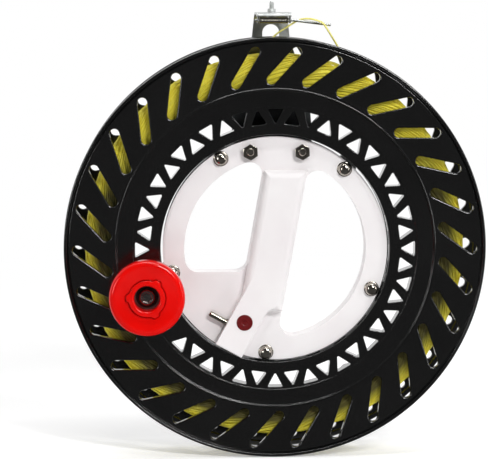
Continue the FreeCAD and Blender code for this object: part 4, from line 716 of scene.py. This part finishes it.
def makeWindingTree():
    w = winding
    tree, given = startGroup("windLine", (
        ("Geometry", "Geometry"), ("Section", "Object"), ("Turns", "Int"), ("Points Per Turn", "Int"),
        ("Swings Per Turn", "Float"), ("Strand Radius", "Float"), ("Scatter", "Float"), ("Seed", "Float"),
        ("Swell", "Float"), ("Swell Angle", "Float"), ("Finish", "Material")), "Strands")
    # a line of points; each has its angle round the wheel and its share of the way round the section
    count = addNode(tree, "ShaderNodeMath", {0: given["Turns"], 1: given["Points Per Turn"]},
                    operation="MULTIPLY")
    line = addNode(tree, "GeometryNodeMeshLine", {"Count": count})
    index = addNode(tree, "GeometryNodeInputIndex")
    turns = addNode(tree, "ShaderNodeMath", {0: index, 1: given["Points Per Turn"]}, operation="DIVIDE")
    angle = addNode(tree, "ShaderNodeMath", {0: turns, 1: 2 * math.pi}, operation="MULTIPLY")
    travel = addNode(tree, "ShaderNodeMath", {0: turns, 1: given["Swings Per Turn"]}, operation="MULTIPLY")
    wobble = addNode(tree, "ShaderNodeTexNoise", {"W": travel, "Scale": w["wobble"]}, noise_dimensions="1D")
    sway = addNode(tree, "ShaderNodeMath", {0: wobble, 1: given["Scatter"], 2: travel},
                   operation="MULTIPLY_ADD")
    share = addNode(tree, "ShaderNodeMath", {0: sway}, operation="FRACT")
    section = addNode(tree, "GeometryNodeObjectInfo", {"Object": given["Section"]}).outputs["Geometry"]
    spot = addNode(tree, "GeometryNodeSampleCurve", {"Curves": section, "Factor": share}, mode="FACTOR")
    parts = addNode(tree, "ShaderNodeSeparateXYZ", {"Vector": spot.outputs["Position"]}).outputs
    # how far out the point lies, a little uneven and higher round the swell
    uneven = addNode(tree, "FunctionNodeRandomValue", {2: 0.0, 3: w["uneven"] * mm, "Seed": given["Seed"]},
                     data_type="FLOAT").outputs[1]
    out = addNode(tree, "ShaderNodeMath", {0: parts["X"], 1: uneven}, operation="ADD")
    apart = addNode(tree, "ShaderNodeMath", {0: angle, 1: given["Swell Angle"]}, operation="SUBTRACT")
    facing = addNode(tree, "ShaderNodeMath", {0: apart}, operation="COSINE")
    facing = addNode(tree, "ShaderNodeMath", {0: facing, 1: 0.0}, operation="MAXIMUM")
    facing = addNode(tree, "ShaderNodeMath", {0: facing, 1: 2.0}, operation="POWER")
    rise = addNode(tree, "ShaderNodeMapRange", {
        "Value": parts["X"], "From Min": w["swellFrom"] * mm, "From Max": w["swellFull"] * mm,
        "To Max": given["Swell"]})
    out = addNode(tree, "ShaderNodeMath", {0: facing, 1: rise, 2: out}, operation="MULTIPLY_ADD")
    across = addNode(tree, "ShaderNodeMath", {0: angle}, operation="COSINE")
    across = addNode(tree, "ShaderNodeMath", {0: across, 1: out}, operation="MULTIPLY")
    up = addNode(tree, "ShaderNodeMath", {0: angle}, operation="SINE")
    up = addNode(tree, "ShaderNodeMath", {0: up, 1: out}, operation="MULTIPLY")
    place = addNode(tree, "ShaderNodeCombineXYZ", {"X": across, "Y": parts["Z"], "Z": up})
    laid = addNode(tree, "GeometryNodeSetPosition", {"Geometry": line, "Position": place})
    curve = addNode(tree, "GeometryNodeMeshToCurve", {"Mesh": laid})
    ring = addNode(tree, "GeometryNodeCurvePrimitiveCircle", {"Resolution": 5,
                                                              "Radius": given["Strand Radius"]})
    tube = addNode(tree, "GeometryNodeCurveToMesh", {"Curve": curve, "Profile Curve": ring,
                                                     "Fill Caps": True})
    endGroup(tree, tube, given["Finish"], "Strands")
    return tree


def makeWinding():
    w = winding
    edge = bpy.data.curves.new("section", "CURVE")
    edge.dimensions = "3D"
    spline = edge.splines.new("POLY")
    spline.points.add(len(w["section"]) - 1)
    for point, (out, forward) in zip(spline.points, reversed(w["section"])):
        point.co = (out * mm, 0, -forward * mm, 1)
    spline.use_cyclic_u = True
    section = bpy.data.objects.new("section", edge)
    scene.collection.objects.link(section)
    strands = newObject("windingStrands", [(0, 0, 0)], [])
    runTree(strands, makeWindingTree(), {
        "Section": section, "Turns": w["turns"], "Points Per Turn": w["perTurn"],
        "Swings Per Turn": w["swing"], "Strand Radius": w["strand"] * mm, "Scatter": w["scatter"],
        "Seed": float(w["seed"]), "Swell": w["swell"] * mm, "Swell Angle": math.radians(w["swellAt"]),
        "Finish": finishes["kite_line"]})
    bpy.data.objects.remove(section)
    rows = [(lambda a, r=r: swollen(a, r) - w["coreInset"], z * w["coreNarrow"]) for r, z in w["section"]]
    rows = [(w["coreFoot"], rows[0][1])] + rows + [(w["coreFoot"], rows[-1][1])]
    core = turnedPiece("windingCore", rows, w["coreColumns"], closed=True)
    # The core takes the second finish, near-black: painted shade in the gaps between the strands.
    for face in core.data.polygons:
        face.material_index = 1
    whole = joinPieces("lineWinding", [strands, core])
    whole.data.shade_smooth()
    whole.data.materials.clear()
    for slot in ("kite_line", "packed_line"):
        whole.data.materials.append(finishes[slot])
    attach(whole, "wheel")
    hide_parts("line_winding")
    print("winding faces", len(whole.data.polygons))


makeWinding()


# ---- sheet steel and the sliding bolt: their CAD shape with rounded edges

softening = {"merge": 0.004, "limit": 32.0, "segments": 2, "sharp": 44}


def softened(name, node, body, slot, width):
    piece = bpy.data.objects.new(name, frame["nodes"][node].data.copy())
    scene.collection.objects.link(piece)
    piece.data.name = name
    if "custom_normal" in piece.data.attributes:
        piece.data.attributes.remove(piece.data.attributes["custom_normal"])
    cleanMesh(piece, softening["limit"], softening["merge"], turned=True)
    bevel = piece.modifiers.new("edges", "BEVEL")
    bevel.width = width * mm
    bevel.segments = softening["segments"]
    bevel.limit_method = "ANGLE"
    bevel.angle_limit = math.radians(softening["limit"])
    bevel.use_clamp_overlap = False
    settle(piece)
    finishPiece(smoothed(piece, softening["sharp"]), body, slot, node)


softened("guideBracket", "guide_bracket", "hub", "zinc_steel", 0.14)
softened("rollerHolder", "roller_holder", "hub", "zinc_steel", 0.1)
softened("lockBolt", "lock_bolt", "lock", "zinc_steel", 0.25)
print("steel with rounded edges")


# ---- screws, nuts and bolts

# A thread is given as radius, low end, high end, pitch and depth; crest says between which shares of the
# pitch it has its full radius.
def threadRows(radius, low, high, pitch, depth, crest=(0.4, 0.6)):
    rows = []
    turns = int((high - low) / pitch)
    for i in range(turns):
        z = low + i * pitch
        rows += [(radius - depth, z)] + [(radius, z + pitch * share) for share in crest]
    return rows + [(radius - depth, low + turns * pitch)]


# A nut is given as flats, bore, low side and high side; its corners are turned off.
def makeNut(name, size, centre=(0, 0, 0), axis="forward", turn=0.0):
    flats, bore, low, high = size
    edge = {"bore": 0.4, "flat": 0.15, "corner": 0.08, "slope": 0.6}
    shape = hexagon(flats)
    turned = lambda sign, level: (lambda angle: level - sign * (shape(angle) - flats / 2) * edge["slope"])
    rows = [(bore, low + edge["bore"]), (bore + edge["bore"], low), (flats / 2 - edge["flat"], low),
            (shape, turned(-1, low + edge["corner"])), (shape, turned(1, high - edge["corner"])),
            (flats / 2 - edge["flat"], high), (bore + edge["bore"], high), (bore, high - edge["bore"])]
    return turnedPiece(name, rows, 48, centre, axis, turn, closed=True, sharp=30)


# A cross recess in a screw's head, given as reach, half width, floor and rim; it narrows towards its floor.
def recessRows(reach, half, floor, rim, narrow=0.5):
    shape = lambda angle: min(reach, half / max(1e-6, abs(math.sin(math.radians((angle + 45) % 90 - 45)))))
    return [(0, floor), (lambda angle: shape(angle) * narrow, floor), (shape, rim)]


hubScrew = {"circle": 55.0, "angle": -23.0, "count": 5, "tip": [(0, -6.0), (1.6, -6.0), (1.95, -5.6)],
            "thread": (1.95, -5.5, -2.0, 0.7, 0.25), "nut": (7.0, 2.0, -5.2, -2.0),
            "collar": [(1.95, 9.9), (3.85, 9.95), (4.0, 10.15), (3.85, 10.42), (3.5, 10.5)],
            "dome": {"radius": 3.5, "low": 10.5, "high": 2.9, "bulge": 0.9, "steps": 12}}


def makeHubScrews():
    h = hubScrew
    dome = h["dome"]
    rows = h["tip"] + threadRows(*h["thread"]) + h["collar"]
    for i in range(1, dome["steps"]):
        t = math.pi / 2 * i / dome["steps"]
        rows.append((dome["radius"] * math.cos(t) ** dome["bulge"], dome["low"] + dome["high"] * math.sin(t)))
    rows.append((0, dome["low"] + dome["high"]))
    screw = turnedPiece("domeScrew", rows, columns=48, centre=(h["circle"], 0, 0), sharp=50)
    screws = spreadRound("hubScrews", screw, h["count"], "nickel", h["angle"])
    finishPiece(screws, "hub", "nickel", "hub_screws")
    nut = makeNut("axleNut", h["nut"], (h["circle"], 0, 0))
    nuts = spreadRound("hubNuts", nut, h["count"], "nickel", h["angle"])
    finishPiece(nuts, "hub", "nickel", "hub_nuts")


wheelScrew = {"circle": 79.4, "count": 6, "recess": (1.35, 0.32, -14.0, -14.72),
              "rows": [(1.75, -14.8), (2.3, -14.5), (2.62, -14.1), (2.7, -13.6), (2.7, -13.0), (1.45, -13.0),
                       (1.45, -3.2), (1.0, -3.0), (0, -3.0)]}


def makeWheelScrews():
    w = wheelScrew
    rows = recessRows(*w["recess"]) + w["rows"]
    screw = turnedPiece("wheelScrew", rows, columns=48, centre=(w["circle"], 0, 0), sharp=35)
    finishPiece(spreadRound("wheelScrews", screw, w["count"], "nickel"), "wheel", "nickel", "wheel_screws")


guideBolt = {"spots": [(-13.0, 50.6, 0), (14.0, 50.6, 0)], "recess": (1.9, 0.45, -8.1, -9.2),
             "head": [(2.6, -9.3), (3.25, -8.9), (3.6, -8.1), (3.6, -6.7), (2.0, -6.7), (2.0, 12.6)],
             "thread": (2.0, 12.7, 13.55, 0.4, 0.22), "tip": [(1.5, 13.9), (0, 13.9)],
             "nut": (7.3, 2.05, 10.0, 13.0), "nutTurn": 3}


def makeGuideBolts():
    g = guideBolt
    spots = [tuple(inRow(*spot)) for spot in g["spots"]]
    rows = recessRows(*g["recess"]) + g["head"] + threadRows(*g["thread"]) + g["tip"]
    bolt = turnedPiece("guideBolt", rows, columns=48, sharp=35)
    finishPiece(spreadPiece("bracketBolts", bolt, spots, "nickel"), "hub", "nickel", "bracket_bolts")
    nut = makeNut("guideNut", g["nut"], turn=g["nutTurn"])
    finishPiece(spreadPiece("bracketNuts", nut, spots, "nickel"), "hub", "nickel", "bracket_nuts")


guideScrew = {"spot": (-1.8, 0, 5.0), "thread": (1.2, 124.5, 127.7, 0.5, 0.2),
              "tip": [(0.8, 128.3), (0, 128.3)],
              "head": [(0, 119.3), (1.84, 119.3), (2.2, 119.7), (2.3, 120.0), (2.3, 120.6), (1.2, 120.6),
                       (1.2, 124.4)],
              "nut": (3.8, 1.25, 122.6, 124.6), "nutTurn": 12}


def makeGuideScrew():
    g = guideScrew
    rows = g["head"] + threadRows(*g["thread"]) + g["tip"]
    screw = turnedPiece("guideScrew", rows, columns=32, centre=g["spot"], axis="up", sharp=35)
    finishPiece(screw, "hub", "zinc_steel", "guide_screw")
    nut = makeNut("guideScrewNut", g["nut"], g["spot"], "up", g["nutTurn"])
    finishPiece(nut, "hub", "zinc_steel", "guide_screw_nut")


makeHubScrews()
makeWheelScrews()
makeGuideBolts()
makeGuideScrew()
print("screws and nuts")


# ---- roller on the guide's wire

# A ridge is a list of (depth under the crest, share of the pitch).
roller = {"centre": (-1.0, 118.6, 12.4), "half": 7.45, "radius": 1.7, "bore": 1.05, "grooves": 10, "end": 0.2,
          "ridge": [(0.05, 0.18), (0, 0.3), (0.05, 0.55), (0.35, 0.72), (0.35, 0.9)]}


def makeRoller():
    r = roller
    half, pitch = r["half"], 2 * r["half"] / r["grooves"]
    rows = [(r["bore"], -half), (r["radius"] - r["end"], -half)]
    for i in range(r["grooves"]):
        left = -half + i * pitch
        rows += [(r["radius"] - depth, left + pitch * share) for depth, share in r["ridge"]]
    rows += [(r["radius"] - r["end"], half), (r["bore"], half)]
    piece = turnedPiece("guideRoller", rows, columns=32, centre=r["centre"], axis="right", closed=True, sharp=50)
    finishPiece(piece, "roller", "nickel", "guide_roller")


makeRoller()


# ---- turning knob

# The ears' shape is a list of (angle, radius). Rows of recess and rim are (gap beyond the ears, level).
knob = {"ears": 3, "earTurn": 57.0, "earShape": [(-17.5, 9.3), (-4.5, 10.8), (6.5, 10.65), (15.5, 9.3)],
        "body": [(6.5, 18.0, 0), (13.6, 18.0, 1.0), (14.0, 24.0, 3.0), (18.6, 28.4, 3.0), (19.4, 33.0, 6.0),
                 (19.4, 40.1, 2.6), (15.5, 39.7, 6.0), (11.9, 39.0, 0)],
        "recess": [(0.65, 38.95), (0.4, 38.7), (0.4, 37.6)],
        "bore": [(6.5, 37.6), (6.5, 26.4), (5.6, 26.4), (5.6, 23.5), (6.5, 23.5)],
        "rim": [(-0.2, 37.7), (0, 37.9), (0, 39.9), (-0.12, 40.22), (-0.45, 40.38)],
        "ringFace": [(7.5, 40.4), (7.1, 40.25), (6.7, 39.9), (6.6, 39.5)], "ringFoot": [(6.6, 37.7)],
        "socket": 4.33, "socketFloor": (32.2, 32.3), "socketRim": (35.05, 35.3, 0.3),
        "head": [(3.2, 35.4), (3.7, 35.2), (4.0, 34.9), (4.0, 31.4), (1.95, 31.4), (1.95, 4.4)],
        "thread": (1.95, 0.4, 4.2, 0.7, 0.25), "tip": [(1.5, 0.3), (0, 0.3)], "boltTurn": 12,
        "nut": (7.0, 2.0, 1.3, 4.5), "nutTurn": 20,
        "washer": [(2.0, 14.62, 0), (4.3, 14.62, 0.2), (4.3, 15.6, 0.25), (3.3, 16.0, 0.2), (3.3, 18.5, 0),
                   (2.0, 18.5, 0)]}


# Blunt saw teeth that lean one way.
def earRadius(angle):
    shape = knob["earShape"]
    off = (angle - knob["earTurn"] + 60) % (360 / knob["ears"]) - 60
    for (a, low), (b, high) in zip(shape, shape[1:]):
        if a <= off <= b:
            t = (off - a) / (b - a)
            return low + (high - low) * (t * t * (3 - 2 * t))
    return shape[0][1]


def eared(rows):
    return [(lambda angle, gap=gap: earRadius(angle) + gap, level) for gap, level in rows]


def makeKnob():
    k = knob
    spot = (*knobSpot, 0)
    rows = roundedPath(k["body"], 6) + eared(k["recess"]) + k["bore"]
    piece = turnedPiece("knobBody", rows, columns=144, centre=spot, closed=True, sharp=40)
    finishPiece(piece, "knob", "red_abs", "knob_body")
    rows = k["ringFoot"] + eared(k["rim"]) + k["ringFace"]
    ring = turnedPiece("knobRing", rows, columns=144, centre=spot, closed=True, sharp=45)
    finishPiece(ring, "knob", "red_abs", "knob_ring")
    socket = hexagon(k["socket"])
    (deep, floor), (edge, rim, wider) = k["socketFloor"], k["socketRim"]
    rows = [(0, deep), (socket, floor), (socket, edge), (lambda angle: socket(angle) + wider, rim)]
    rows += k["head"] + threadRows(*k["thread"])[::-1] + k["tip"]
    bolt = turnedPiece("knobBolt", rows, columns=72, centre=spot, turn=k["boltTurn"], sharp=35)
    finishPiece(bolt, "wheel", "nickel", "knob_bolt")
    bolt.data.materials[0] = finishes["dark_steel"]
    finishPiece(makeNut("knobNut", k["nut"], spot, turn=k["nutTurn"]), "wheel", "nickel", "knob_nut")
    washer = turnedPiece("knobWasher", roundedPath(k["washer"]), columns=48, centre=spot, closed=True)
    finishPiece(washer, "wheel", "nickel", "knob_washer")


makeKnob()
print("knob")


# ---- lock lever and cap

# The lever's arm is a list of (reach, radius).
lock = {"cap": (-16.2, -38.2), "tilt": 29.0, "along": 4.9, "across": 1.7, "leverLevel": 11.9, "columns": 28,
        "capRows": [(0, 14.4, 0), (4.2, 14.4, 0), (4.2, 16.3, 0.3), (1.6, 16.3, 0.3), (1.2, 16.0, 0.2),
                    (0, 16.0, 0)],
        "arm": [(0.0, 0.0), (0.0, 0.55), (0.1, 1.1), (0.5, 1.5), (13.0, 1.5), (15.2, 1.5), (15.5, 1.5),
                (16.15, 1.38), (16.5, 1.05), (16.6, 0.5), (16.6, 0.0)],
        "foot": [(0, 9.85), (1.2, 9.85), (1.2, 11.9), (0, 12.1)]}


def makeCap():
    cap = turnedPiece("lockCap", roundedPath(lock["capRows"]), columns=56, centre=(*lock["cap"], 0))
    finishPiece(cap, "hub", "dark_red", "lock_cap")


# The lever stands on the bolt and reaches across the grip's foot to the left.
def makeLever():
    k = lock
    cage = ([], [])
    a = math.radians(k["tilt"])
    out, lift = Vector((-math.cos(a), math.sin(a), 0)), Vector((0, 0, 1))
    side = out.cross(lift)
    spot = (k["cap"][0] - k["along"] * math.sin(a) - k["across"] * math.cos(a),
            k["cap"][1] - k["along"] * math.cos(a) + k["across"] * math.sin(a))
    start = Vector((*spot, k["leverLevel"]))
    turns = [2 * math.pi * i / k["columns"] for i in range(k["columns"])]
    rows = []
    for reach, radius in k["arm"]:
        middle = start + out * reach
        rows.append([inRow(*(middle + side * (radius * math.cos(t)) + lift * (radius * math.sin(t))))
                     for t in turns])
    stitch(cage, rows)
    arm = cleanMesh(newObject("leverArm", *cage))
    foot = turnedPiece("leverFoot", k["foot"], k["columns"], (*spot, 0))
    finishPiece(smoothed(joinPieces("lockLever", [arm, foot]), 40), "lock", "nickel", "lock_lever")


makeCap()
makeLever()
print("lock")


# ---- CAD nodes that stay get their finish

slots = {part["node"]: part["material_slot"] for part in frame["record"]["subparts"]}
for node, piece in frame["nodes"].items():
    if node in replaced or piece.type != "MESH":
        continue
    if not piece.data.materials:
        piece.data.materials.append(None)
    for slot in piece.material_slots:
        slot.material = finishes["sealed_bearing" if node == "knob_outer_races" else slots[node]]
print("kept nodes", len(frame["nodes"]) - len(replaced))


# ---- floor, world and lamps

# Lengths here are metres, the cloud's size millimetres. The floor fades to white between two distances. On
# the camera's side floor and room are dimmer in reflections.
stage = {"floor": "#F4F4F4", "level": -0.1102, "size": 8.0, "cloud": 180, "cloudLow": 0.95, "glow": 0.3,
         "fadeFrom": 0.28, "fadeTo": 0.8, "front": 0.06, "edge": 0.02, "floorFront": 1.6, "roomFrom": -0.4,
         "roomTo": 0.3}


# Pale matt floor that keeps the shadow near the object and runs out into the white backdrop further off.
def makeFloor():
    half, level = stage["size"] / 2, stage["level"]
    corners = [(-half, -half, level), (half, -half, level), (half, half, level), (-half, half, level)]
    floor = newObject("floor", corners, [(0, 1, 2, 3)])
    material, tree, place = startMaterial("paleFloor")
    matt = addNode(tree, "ShaderNodeBsdfDiffuse", {"Color": stage["floor"]})
    path = addNode(tree, "ShaderNodeLightPath").outputs
    seen = addNode(tree, "ShaderNodeMath", {0: path["Is Camera Ray"], 1: path["Is Glossy Ray"]},
                   operation="MAXIMUM")
    seen = addNode(tree, "ShaderNodeMath", {0: seen, 1: path["Is Transmission Ray"]}, operation="MAXIMUM")
    cloud = mottled(tree, place, stage["cloud"], stage["cloudLow"], 1.0)
    glow = addNode(tree, "ShaderNodeMath", {0: seen, 1: cloud}, operation="MULTIPLY")
    glow = addNode(tree, "ShaderNodeMath", {0: glow, 1: stage["glow"]}, operation="MULTIPLY")
    shine = addNode(tree, "ShaderNodeEmission", {"Strength": glow})
    near = addNode(tree, "ShaderNodeAddShader", {0: matt, 1: shine})
    away = addNode(tree, "ShaderNodeVectorMath", {0: place}, operation="LENGTH").outputs["Value"]
    fade = addNode(tree, "ShaderNodeMapRange", {"Value": away, "From Min": stage["fadeFrom"],
                                                "From Max": stage["fadeTo"]}, interpolation_type="SMOOTHSTEP")
    white = addNode(tree, "ShaderNodeEmission", {"Strength": seen})
    far = addNode(tree, "ShaderNodeMixShader", {0: fade, 1: near, 2: white})
    depth = addNode(tree, "ShaderNodeSeparateXYZ", {"Vector": place}).outputs["Y"]
    ahead = addNode(tree, "ShaderNodeMapRange", {"Value": depth, "From Min": -stage["edge"],
                                                 "From Max": stage["edge"], "To Min": 1.0, "To Max": 0.0})
    dim = addNode(tree, "ShaderNodeMath", {0: ahead, 1: path["Is Glossy Ray"]}, operation="MULTIPLY")
    dull = addNode(tree, "ShaderNodeEmission", {"Strength": stage["front"] * stage["floorFront"]})
    whole = addNode(tree, "ShaderNodeMixShader", {0: dim, 1: far, 2: dull})
    addNode(tree, "ShaderNodeOutputMaterial", {"Surface": whole})
    floor.data.materials.append(material)


# White all round as seen, while the room on the camera's side gives the object little light.
def makeWorld():
    world = bpy.data.worlds.new("studio")
    world.use_nodes = True
    scene.world = world
    tree = world.node_tree
    tree.nodes.clear()
    way = addNode(tree, "ShaderNodeTexCoord").outputs["Generated"]
    depth = addNode(tree, "ShaderNodeSeparateXYZ", {"Vector": way}).outputs["Y"]
    room = addNode(tree, "ShaderNodeMapRange", {"Value": depth, "From Min": stage["roomFrom"],
                                                "From Max": stage["roomTo"], "To Min": stage["front"]})
    path = addNode(tree, "ShaderNodeLightPath").outputs
    seen = addNode(tree, "ShaderNodeMath", {0: path["Is Camera Ray"], 1: path["Is Transmission Ray"]},
                   operation="MAXIMUM")
    level = addNode(tree, "ShaderNodeMath", {0: seen, 1: room}, operation="MAXIMUM")
    sky = addNode(tree, "ShaderNodeBackground", {"Color": "#FFFFFF", "Strength": level})
    addNode(tree, "ShaderNodeOutputWorld", {"Surface": sky})


lamps = {
    "key": {"place": (0.52, -0.98, 0.72), "along": (-0.8, 0, 0.6), "long": 0.55, "wide": 0.12, "power": 10.1},
    "overhead": {"place": (0.0, -0.3, 1.0), "along": (1, 0, 0), "long": 0.8, "wide": 0.05, "power": 3.0},
    "left": {"place": (-0.85, -0.85, 0.15), "along": (0, 0, 1), "long": 0.4, "wide": 0.1, "power": 2.0},
    "right": {"place": (1.0, -0.5, 0.1), "along": (0, 0, 1), "long": 0.5, "wide": 0.08, "power": 1.5}}


# A lamp that shines on the wheel's centre, with its long side lying along a given direction.
def addLamp(name, place, along, long, wide, power):
    data = bpy.data.lights.new(name, "AREA")
    data.shape = "RECTANGLE"
    data.size, data.size_y, data.energy = long, wide, power
    lamp = bpy.data.objects.new(name, data)
    lamp.location = place
    back, side = Vector(place).normalized(), Vector(along)
    side = (side - back * side.dot(back)).normalized()
    lamp.rotation_euler = Matrix((side, back.cross(side), back)).transposed().to_euler()
    scene.collection.objects.link(lamp)


makeFloor()
makeWorld()
for name, lamp in lamps.items():
    addLamp(name, **lamp)
print("stage")
